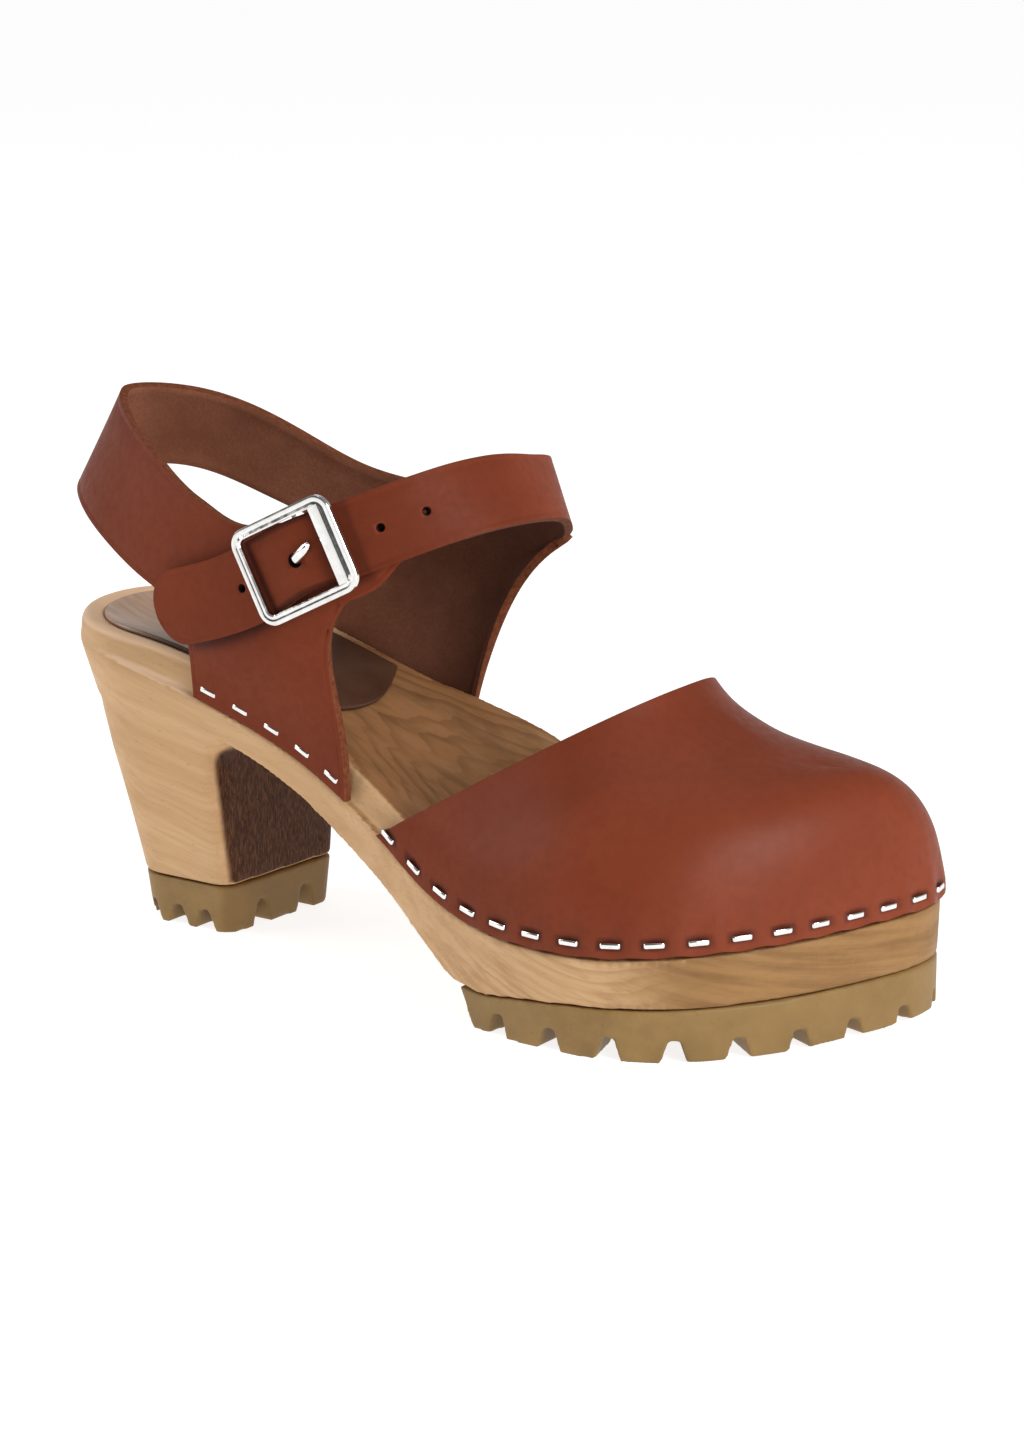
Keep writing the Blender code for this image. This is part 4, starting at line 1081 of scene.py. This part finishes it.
def pucker(angle, side, height):
    """Return how far the lasted leather swells between its staples and is pressed in under them."""
    between, near_toe = between_staples(angle, side)
    low = math.exp(-((height - PUCKER_MIDDLE) / PUCKER_HEIGHT) ** 2)
    pressed = (1.0 - between) ** 3 * math.exp(-((height - STAPLE_ABOVE_LEDGE) / PRESS_REACH) ** 2)
    swell = PUCKER * (PUCKER_LEAST + (1.0 - PUCKER_LEAST) * near_toe) * between * low
    return swell - PRESS * pressed


def fade(value, start, end):
    """Return 1 up to a start and 0 from an end, with a smooth fall between them."""
    share = min(max((value - start) / (end - start), 0.0), 1.0)
    return 1.0 - (3.0 - 2.0 * share) * share * share


def staple_shade(angle, side, height):
    """Return how dark the leather is painted round a staple, as the shadow of its pressed hollow."""
    between = between_staples(angle, side)[0]
    along = math.asin(math.sqrt(min(max(between, 0.0), 1.0))) * VAMP_STAPLE_PITCH / math.pi
    across = abs(height - STAPLE_ABOVE_LEDGE)
    return STAPLE_SHADE * fade(along, *STAPLE_SHADE_ALONG) * fade(across, *STAPLE_SHADE_ACROSS)


def vamp_point(row, side, share):
    """Return a point of the vamp's outer face, share 0 on the ledge and 1 on the spine, and its shade."""
    angle = vamp_at["lateral_x" if side < 0 else "medial_x"](row)
    foot = edge(angle, side, -LEATHER_PROUD)
    foot_z = profile["ledge"](length_at(angle)) + LEDGE_GAP
    power = vamp_at["fullness"](row)
    rise = math.sin(0.5 * math.pi * share) ** (2.0 / power)
    draw_in = 1.0 - math.cos(0.5 * math.pi * share) ** (2.0 / power)
    fan = vamp_at["fan"](row)
    reach = vamp_at["top_x"](row) - foot[0]
    forward = reach * rise * (1.0 - fan)
    x = foot[0] + forward + reach * draw_in * fan
    y = foot[1] + (vamp_at["top_y"](row) - foot[1]) * draw_in
    z = foot_z + (vamp_at["top_z"](row) - foot_z) * rise
    height = max(z - profile["ledge"](x) - VAMP_UPRIGHT, 0.0) / VAMP_CLING_HEIGHT
    cling = math.exp(-height * height)
    y += cling * (edge(angle_at(foot[0] + forward), side)[1] - edge(angle_at(foot[0]), side)[1])
    here = length_at(angle) + forward
    station = angle_at(here)
    above = z - profile["ledge"](here) - LEDGE_GAP
    swell = pucker(station, side, above) * outward(angle, side)
    between, near_toe = between_staples(station, side)
    wave = EDGE_WAVE * (WAVE_LEAST + (1.0 - WAVE_LEAST) * near_toe) * between * math.exp(-above * above)
    # Painted shade: the top near the throat is darkened, and so is the leather round each staple.
    throat = THROAT_SHADE * fade(row, *THROAT_SHADE_ROWS) * (1.0 - fade(share, *THROAT_SHADE_SHARES))
    return (x + swell[0], y + swell[1], z + wave), max(throat, staple_shade(station, side, above))


def make_vamp(leathers):
    """Make the leather over the toe, lasted down and puckered between its staples."""
    rows = 150
    half = 56
    shares = [(c / half) ** VAMP_CROWDING for c in range(half + 1)]
    sheet = []
    for r in range(rows + 1):
        row = (len(VAMP) - 1.0) * r / rows
        sheet += [vamp_point(row, -1, share) for share in shares]
        sheet += [vamp_point(row, 1, share) for share in shares[-2::-1]]
    points = [point for point, shade in sheet]
    shades = [shade for point, shade in sheet]
    faces = [face[::-1] for face in sheet_faces(rows + 1, 2 * half + 1)]
    vamp = add_mesh("toe_leather", points, faces, closed=False, shades=shades)
    dress(vamp, leathers)
    leather_sheet(vamp, LEATHER, -1.0, CUT_EDGE_ROUND)
    settle(vamp)
    return finish_piece(vamp, "leather", leathers, "vamp")


strap_points = np.stack([column(STRAP, STRAP_COLUMNS, name) for name in ("x", "y", "z")], axis=1)
strap_steps = np.linalg.norm(np.diff(strap_points, axis=0), axis=1)
strap_knots = np.concatenate(([0.0], np.cumsum(strap_steps)))
strap_line = spline(strap_knots, strap_points)
strap_width = smooth(strap_knots, column(STRAP, STRAP_COLUMNS, "width"))
strap_lean = smooth(strap_knots, column(STRAP, STRAP_COLUMNS, "lean"))


def strap_length_at(row):
    """Return the length along the strap at a row of its table."""
    return float(np.interp(row, np.arange(len(STRAP)), strap_knots))


def strap_frame(length):
    """Return the strap's middle, its direction, its face's direction and its upward direction."""
    middle, slope = strap_line(length)
    along = slope / np.linalg.norm(slope)
    face = np.cross((0.0, 0.0, 1.0), along)
    face = face / np.linalg.norm(face)
    up = np.cross(along, face)
    lean = math.radians(strap_lean(length))
    leaned_up = up * math.cos(lean) - face * math.sin(lean)
    leaned_face = face * math.cos(lean) + up * math.sin(lean)
    return middle, along, leaned_face, leaned_up


def strap_half_width(length):
    """Return half the strap's width, rounded off at its tip."""
    half = 0.5 * strap_width(length)
    over = (length - (strap_knots[-1] - STRAP_TIP_LENGTH)) / STRAP_TIP_LENGTH
    if over > 0.0:
        half = half * math.sqrt(max(1.0 - STRAP_TIP_BLUNT * over * over, 0.0))
    return half


def quarter_span(quarter):
    """Return where a quarter begins and ends along the strap."""
    return strap_length_at(quarter.first_row), strap_length_at(quarter.last_row)


def strap_lengths():
    """Return where the strap's columns stand, closer together at its tip and at the quarters' ends."""
    start = strap_knots[-1] - STRAP_TIP_LENGTH
    ends = []
    for quarter in QUARTERS:
        first, last = quarter_span(quarter)
        ends += [first] + [first + step for step in EDGE_LINE]
        ends += [last - step for step in EDGE_LINE] + [last]
    lengths = [length for length in np.arange(0.0, start - STRAP_TIP_GAP, STRAP_STEP)
               if min(abs(length - end) for end in ends) > STRAP_LEAST_STEP]
    lengths += ends
    turns = [0.5 * math.pi * i / STRAP_TIP_STEPS for i in range(STRAP_TIP_STEPS + 1)]
    lengths += [start + STRAP_TIP_LENGTH * math.sin(turn) for turn in turns]
    return sorted(lengths)


def quarter_base(side, x):
    """Return a point on the ledge in the middle of the quarter's thickness."""
    plan = edge(angle_at(x), side, 0.5 * LEATHER - LEATHER_PROUD)
    return np.array([plan[0], plan[1], profile["ledge"](x) + LEDGE_GAP])


def quarter_point(top, down, base, share, flare, pinch):
    """Return a point of a quarter, share 0 on the strap and 1 on the ledge."""
    drop = top[2] - base[2]
    rise = (3.0 - 2.0 * share) * share * share
    start = drop * share * (1.0 - share) ** 2
    end = drop * share * share * (1.0 - share)
    point = top + (base - top) * rise + down * start
    point[2] += end
    point[0] = base[0] + (top[0] - base[0]) * (1.0 - share) ** flare
    point[0] += pinch * WAIST_SCALE * share * (1.0 - share) ** 3
    return point


def tip_edge():
    """Return the lower edge of the strap's end, as x and z from its tip forward."""
    line = []
    for length in np.linspace(strap_knots[-1], strap_length_at(BUCKLE_ROW - 1.0), 80):
        middle, along, face, up = strap_frame(length)
        line.append(middle - up * strap_half_width(length))
    line = np.array(line)
    return line[:, 0], line[:, 2]


def tip_shade(point, tip):
    """Return the painted shadow along the lower edge of the strap's end, on the leather it lies on."""
    back = tip[0][0]
    if point[1] > 0.0 or not back < point[0] < tip[0][-1]:
        return 0.0
    below = np.interp(point[0], *tip) - point[2]
    strength = TIP_SHADE * math.exp(-(below / TIP_SHADE_REACH) ** 2)
    return strength * (1.0 - fade(point[0], back, back + TIP_SHADE_START))


def strap_shade(length, height, half):
    """Return the painted shade on the strap beside the buckle's frame and where it turns over the instep."""
    step = length - strap_knots[BUCKLE_ROW]
    beside = 0.0
    for middle, reach, share in BUCKLE_SHADE_LINES:
        beside = max(beside, share * math.exp(-((step - middle) / reach) ** 2))
    inside = fade(abs(step), *BUCKLE_SHADE_INSIDE)
    inside = inside * math.exp(-((half - abs(height)) / BUCKLE_SHADE_REACH) ** 2)
    begins, full, ends = (strap_length_at(row) for row in INSTEP_SHADE_ROWS)
    turn = (1.0 - fade(length, begins, full)) * fade(length, ends, strap_knots[BUCKLE_ROW])
    return max(BUCKLE_SHADE * max(beside, inside), INSTEP_SHADE * turn)


def strap_column(length, in_quarter, tip):
    """Return the points across the strap at a length, and their shades."""
    middle, along, face, up = strap_frame(length)
    buckle_length = strap_knots[BUCKLE_ROW]
    from_bar = (length - buckle_length) / STRAP_BULGE_HALF
    in_buckle = max(0.0, 1.0 - from_bar * from_bar)
    half = strap_half_width(length) - 0.5 * STRAP_SQUEEZE * in_buckle
    middle = middle + up * 0.5 * STRAP_SQUEEZE * in_buckle
    swell = STRAP_BULGE * in_buckle ** 2
    heights = [-half] + [step - half for step in EDGE_LINE]
    heights += [(half - EDGE_LINE[-1]) * share for share in STRAP_INNER_SHARES]
    heights += [half - step for step in EDGE_LINE[::-1]] + [half]
    pressed = (len(heights) - 3,) if in_quarter else (2, len(heights) - 3)
    if half < 2.0 * EDGE_LINE[-1]:
        heights = np.linspace(-half, half, len(heights))
        pressed = ()
    points = []
    shades = []
    for c, height in enumerate(heights):
        press = EDGE_LINE_DEPTH if c in pressed else 0.0
        point = middle + up * height + face * (swell - press)
        under_tip = tip_shade(point, tip) if length < 0.5 * buckle_length else 0.0
        points.append(point)
        shades.append(max(strap_shade(length, height, half), under_tip))
    return points, shades


def quarter_column(quarter, length, top, press):
    """Return the points of a quarter from below a point of the strap's edge down to the ledge."""
    first, last = quarter_span(quarter)
    share_along = (length - first) / (last - first)
    base_x = quarter.base_first_x + (quarter.base_last_x - quarter.base_first_x) * share_along
    base = quarter_base(quarter.side, base_x)
    off_middle = 2.0 * share_along - 1.0
    pinch = off_middle * (quarter.first_waist if off_middle < 0.0 else quarter.last_waist)
    if quarter.base_first_x < quarter.base_last_x:
        pinch = -pinch
    face, up = strap_frame(length)[2:]
    points = []
    for r in range(1, QUARTER_STEPS + 1):
        point = quarter_point(top, -up, base, r / QUARTER_STEPS, quarter.flare, pinch)
        points.append(point - face * press)
    return points


def strap_sheet():
    """Return the strap and both quarters as one sheet of points and faces, and the points' shades."""
    lengths = strap_lengths()
    tip = tip_edge()
    spans = [quarter_span(quarter) for quarter in QUARTERS]
    points = []
    shades = []
    for length in lengths:
        in_quarter = any(first <= length <= last for first, last in spans)
        across_points, across_shades = strap_column(length, in_quarter, tip)
        points += across_points
        shades += across_shades
    across = len(points) // len(lengths)
    faces = sheet_faces(len(lengths), across)
    for quarter, (first, last) in zip(QUARTERS, spans):
        chosen = [i for i, length in enumerate(lengths) if first <= length <= last]
        lines = []
        for n, i in enumerate(chosen):
            press = EDGE_LINE_DEPTH if n in (2, len(chosen) - 3) else 0.0
            below = quarter_column(quarter, lengths[i], points[across * i], press)
            lines.append([across * i] + list(range(len(points), len(points) + QUARTER_STEPS)))
            points += below
            shades += [tip_shade(point, tip) for point in below]
        for before, after in zip(lines, lines[1:]):
            for r in range(QUARTER_STEPS):
                faces.append((before[r], after[r], after[r + 1], before[r + 1]))
    return points, faces, shades


def strap_holes():
    """Return a tool for the punched holes and the buckle's stud."""
    turns = [math.pi * i / 12.0 for i in range(24)]
    holes = []
    for step in HOLE_PLACES:
        at_stud = step == 0.0
        reach = THROUGH_BOTH if at_stud else THROUGH_ONE
        radius = STUD_HOLE_RADIUS if at_stud else HOLE_RADIUS
        middle, along, face, up = strap_frame(strap_knots[BUCKLE_ROW] + step)
        loops = []
        for depth in (-reach, HOLE_FRONT):
            share = 1.0 if at_stud else HOLE_TAPER[0] + HOLE_TAPER[1] * depth
            centre = middle + face * depth
            loops.append([tuple(centre + radius * share * (along * math.cos(turn) + up * math.sin(turn)))
                          for turn in turns])
        holes.append(prism(*loops))
    tool = join_solids("strap_hole_tool", holes)
    for polygon in tool.data.polygons:
        polygon.material_index = HOLE_MATERIAL
    return tool


def make_ankle_straps(leathers):
    """Make the strap and both quarters in one piece of leather, with punched holes."""
    points, faces, shades = strap_sheet()
    straps = add_mesh("strap_leather", points, faces, closed=False, shades=shades)
    dress(straps, leathers)
    leather_sheet(straps, LEATHER, 0.0, CUT_EDGE_ROUND)
    settle(straps)
    combine(straps, strap_holes(), "DIFFERENCE")
    return finish_piece(straps, "leather", leathers, "ankle_straps")


def make_heel_sock(leather):
    """Make the thin pad on the heel seat, on the footbed's own surface."""
    rows = 70
    columns = 26
    points = []
    for r in range(rows + 1):
        line = []
        for side in (-1, 1):
            half = []
            for c in range(columns + 1):
                share = c / columns
                bulge = math.sin(0.5 * math.pi * share)
                front = angle_at(SOCK_SIDE_X + (SOCK_MIDDLE_X - SOCK_SIDE_X) * bulge)
                inner = SOCK_INSET + (1.0 - SOCK_INSET) * share
                half.append(footbed(front * r / rows, side, inner, GAP))
            line += half if side < 0 else half[-2::-1]
        points += line
    faces = [face[::-1] for face in sheet_faces(rows + 1, 2 * columns + 1)]
    sock = add_mesh("heel_pad", points, faces, closed=False)
    leather_sheet(sock, SOCK_THICKNESS, 1.0, SOCK_EDGE_ROUND)
    settle(sock)
    return finish_piece(sock, "sock_leather", [leather], "heel_sock")


def sweep(path, across, section, closed=False):
    """Return rings of a section carried along a path, with one of its directions given."""
    rings = []
    last = len(path) - 1
    for i, stop in enumerate(path):
        before = path[i - 1] if closed else path[max(i - 1, 0)]
        after = path[(i + 1) % len(path)] if closed else path[min(i + 1, last)]
        heading = (after - before) / np.linalg.norm(after - before)
        side = np.cross(heading, across)
        side = side / np.linalg.norm(side)
        rings.append([stop + across * a + side * b for a, b in section])
    return rings


def rod(rings, closed=False):
    """Return the points and faces of a rod through its rings, capped unless it is closed."""
    around = len(rings[0])
    points = [tuple(point) for ring in rings for point in ring]
    faces = ring_faces(len(rings), around)
    last = (len(rings) - 1) * around
    if closed:
        faces += [(last + k, last + (k + 1) % around, (k + 1) % around, k) for k in range(around)]
    else:
        faces += [tuple(range(around)), tuple(range(last, last + around))]
    return points, faces


def oval(half_a, half_b, count, squareness=2.0):
    """Return a rounded section, an ellipse at squareness 2."""
    section = []
    for k in range(count):
        turn = 2.0 * math.pi * k / count
        c = math.cos(turn)
        s = math.sin(turn)
        section.append((half_a * math.copysign(abs(c) ** (2.0 / squareness), c),
                        half_b * math.copysign(abs(s) ** (2.0 / squareness), s)))
    return section


def frame_path():
    """Return the buckle's rounded rectangle as steps along the strap and up."""
    path = []
    for quadrant in range(4):
        along = 1.0 if quadrant in (0, 3) else -1.0
        up = 1.0 if quadrant in (0, 1) else -1.0
        for i in range(9):
            turn = 0.5 * math.pi * (quadrant + i / 8.0)
            path.append((along * (BUCKLE_HALF_LENGTH - BUCKLE_CORNER) + BUCKLE_CORNER * math.cos(turn),
                         up * (BUCKLE_HALF_HEIGHT - BUCKLE_CORNER) + BUCKLE_CORNER * math.sin(turn)))
    return path


def make_buckle(nickel):
    """Make the frame, the flat plate inside its front, the bar behind both straps and the prong."""
    middle, along, face, up = strap_frame(strap_knots[BUCKLE_ROW])
    lift = 0.5 * LEATHER + GAP + 0.5 * BUCKLE_WIRE_THICKNESS
    behind = strap_line(strap_knots[UNDER_BUCKLE_ROW])[0]
    depth = float(np.dot(behind - middle, face)) - 0.5 * LEATHER - 2.0 * GAP - BAR_RADIUS

    def local(step, rise, out):
        return middle + along * step + up * rise + face * out

    path = [local(step, rise, lift) for step, rise in frame_path()]
    wire = [(0.5 * BUCKLE_WIRE_THICKNESS * a, 0.5 * BUCKLE_WIRE_WIDTH * b) for a, b in WIRE_SECTION]
    parts = [rod(sweep(path, face, wire, closed=True), closed=True)]

    reach = BUCKLE_HALF_HEIGHT - PLATE_END * BUCKLE_WIRE_WIDTH
    inside = 0.5 * (BUCKLE_WIRE_WIDTH + PLATE_WIDTH) - PLATE_OVERLAP - BUCKLE_HALF_LENGTH
    path = [local(inside, reach * share, lift + PLATE_LIFT) for share in (-1.0, -0.5, 0.0, 0.5, 1.0)]
    plate = oval(0.5 * PLATE_THICKNESS, 0.5 * PLATE_WIDTH, 24, PLATE_SQUARENESS)
    parts.append(rod(sweep(path, face, plate)))

    stops = ((BAR_WIDE, lift), (BAR_WIDE, depth + BAR_BEND), (BAR_NARROW, depth),
             (-BAR_NARROW, depth), (-BAR_WIDE, depth + BAR_BEND), (-BAR_WIDE, lift))
    path = [local(0.0, share * BUCKLE_HALF_HEIGHT, out) for share, out in stops]
    parts.append(rod(sweep(path, along, oval(BAR_RADIUS, BAR_RADIUS, 12))))

    prong = ((0.0, 0.0, depth, 1.0), *PRONG)
    path = [local(step, rise, out) for step, rise, out, share in prong]
    rings = sweep(path, up, oval(STUD_RADIUS, STUD_RADIUS, 14))
    for i, (step, rise, out, share) in enumerate(prong):
        rings[i] = [path[i] + (point - path[i]) * share for point in rings[i]]
    parts.append(rod(rings))

    buckle = join_solids("buckle_frame", parts)
    finish_piece(buckle, "nickel", [nickel], "buckle")
    buckle.data.set_sharp_from_angle(angle=math.radians(BUCKLE_SHARP_ANGLE))
    return buckle


def make_staple(node, angle, side, clearance, nickel):
    """Make one staple: its crown on the leather and both legs going in."""
    away = outward(angle, side)
    here = profile["ledge"](length_at(angle))
    ahead = np.array([-away[1], away[0]]) * side
    step = edge(angle, side) + ahead * STAPLE_SLOPE_STEP
    along = np.array([ahead[0], ahead[1], (profile["ledge"](step[0]) - here) / STAPLE_SLOPE_STEP])
    along = along / np.linalg.norm(along)
    face = np.array([away[0], away[1], 0.0])
    up = np.cross(face, along)
    base = edge(angle, side, -LEATHER_PROUD - clearance)
    middle = np.array([base[0], base[1], here + GAP + STAPLE_ABOVE_LEDGE])
    crown = 0.5 * STAPLE_THICKNESS
    stops = [(1.0, -STAPLE_LEG)] + [(share, crown + drop) for share, drop in STAPLE_BEND]
    stops = [(-share, out) for share, out in stops] + stops[::-1]
    reach = 0.5 * STAPLE_LENGTH - crown
    path = [middle + along * share * reach + face * out for share, out in stops]
    rings = sweep(path, up, oval(0.5 * STAPLE_HEIGHT, 0.5 * STAPLE_THICKNESS, 20, STAPLE_SQUARENESS))
    staple = add_mesh(node + "_wire", *rod(rings))
    return finish_piece(staple, "nickel", [nickel], node)


def make_staples(nickel):
    """Make every staple along the vamp and along both quarters."""
    stations = walk(VAMP[0][0] + STAPLE_MARGIN, VAMP[0][1] + STAPLE_MARGIN, VAMP_STAPLE_PITCH, edge)
    for n, (angle, side) in enumerate(stations, start=1):
        make_staple("vamp_staple_%02d" % n, angle, side, VAMP_STAPLE_CLEARANCE, nickel)
    n = 0
    for quarter in QUARTERS:
        low = min(quarter.base_first_x, quarter.base_last_x) + STAPLE_MARGIN
        high = max(quarter.base_first_x, quarter.base_last_x) - STAPLE_MARGIN
        for i in range(QUARTER_STAPLES):
            n += 1
            angle = angle_at(low + (high - low) * i / (QUARTER_STAPLES - 1.0))
            make_staple("quarter_staple_%02d" % n, angle, quarter.side, QUARTER_STAPLE_CLEARANCE, nickel)


def make_floor():
    """Lay a plain pale floor."""
    s = Surface("pale_floor", 0.9)
    s.feed(s.shader, Emission_Color=(1.0, 1.0, 1.0, 1.0), Emission_Strength=0.84)
    mottle = s.noise(3.0, 2.0)
    material = s.done(s.ramp(mottle, (0.0, (0.37, 0.37, 0.368)), (1.0, (0.40, 0.40, 0.398))))
    mesh = bpy.data.meshes.new("floor")
    reach = 6.0
    mesh.from_pydata([(-reach, -reach, 0), (reach, -reach, 0), (reach, reach, 0), (-reach, reach, 0)], [],
                     [(0, 1, 2, 3)])
    mesh.materials.append(material)
    floor = bpy.data.objects.new("floor", mesh)
    bpy.context.scene.collection.objects.link(floor)


def add_light(name, at, towards, size, power):
    """Hang one square softbox, with places and sizes in metres."""
    lamp = bpy.data.lights.new(name, "AREA")
    lamp.shape = "RECTANGLE"
    lamp.size, lamp.size_y = size
    lamp.energy = power
    light = bpy.data.objects.new(name, lamp)
    light.location = at
    light.rotation_euler = (Vector(at) - Vector(towards)).to_track_quat("Z", "Y").to_euler()
    bpy.context.scene.collection.objects.link(light)


def light_studio():
    """Light the shoe from its toe and its heel, with a dark ceiling and a dark wall on its outer side."""
    world = bpy.data.worlds.new("studio")
    world.use_nodes = True
    nodes = Nodes(world.node_tree)
    direction = nodes.add("ShaderNodeTexCoord").outputs["Generated"]
    outer_side = nodes.add("ShaderNodeVectorMath", operation="DOT_PRODUCT")
    nodes.put(outer_side.inputs[0], direction)
    nodes.put(outer_side.inputs[1], OUTER_WALL)
    ceiling = nodes.ramp(nodes.parts(direction)["Z"], (0.22, (0.85, 0.85, 0.85)), (0.50, (0.24, 0.24, 0.24)))
    wall = nodes.ramp(outer_side.outputs["Value"], (0.40, (1.0, 1.0, 1.0)), (0.70, (0.12, 0.12, 0.12)))
    nodes.feed(nodes.tree.nodes["Background"], Color=nodes.mix(1.0, ceiling, wall, "MULTIPLY"))
    bpy.context.scene.world = world
    bpy.context.scene.view_settings.view_transform = "Standard"
    add_light("heel_side", (-1.00, -0.60, 0.60), (-0.05, 0.0, 0.06), (0.8, 0.8), 7.6)
    add_light("toe_side", (1.12, -0.20, 0.76), (0.08, 0.0, 0.05), (0.6, 0.6), 15.0)
    add_light("toe_fill", (0.50, -0.25, 0.18), (0.09, 0.0, 0.04), (0.25, 0.25), 0.6)
    add_light("top", (-0.1, 0.25, 1.2), (0.0, 0.0, 0.05), (0.8, 0.8), 1.5)


def set_camera():
    """Stand the camera where the photograph was taken from."""
    turn = math.radians(CAMERA_TURN)
    rise = math.radians(CAMERA_RISE)
    back = Vector((math.cos(rise) * math.cos(turn), -math.cos(rise) * math.sin(turn), math.sin(rise)))
    data = bpy.data.cameras.new("camera")
    data.sensor_width = 36.0
    data.lens = CAMERA_LENS
    data.clip_start = 0.01
    camera = bpy.data.objects.new("camera", data)
    camera.location = Vector(place(CAMERA_TARGET)) + back * CAMERA_DISTANCE * MM
    camera.rotation_euler = back.to_track_quat("Z", "Y").to_euler()
    bpy.context.scene.collection.objects.link(camera)
    bpy.context.scene.camera = camera


leathers = [grain_leather(), flesh_leather(), cut_leather(), hole_painted_shade()]
rubber = gum_rubber()
nickel = bright_nickel()
make_wood_sole(carved_wood())
make_forefoot_outsole(rubber)
make_heel_top_piece(rubber)
make_vamp(leathers[:3])
make_ankle_straps(leathers)
make_heel_sock(sock_leather())
make_buckle(nickel)
make_staples(nickel)
make_floor()
light_studio()
set_camera()
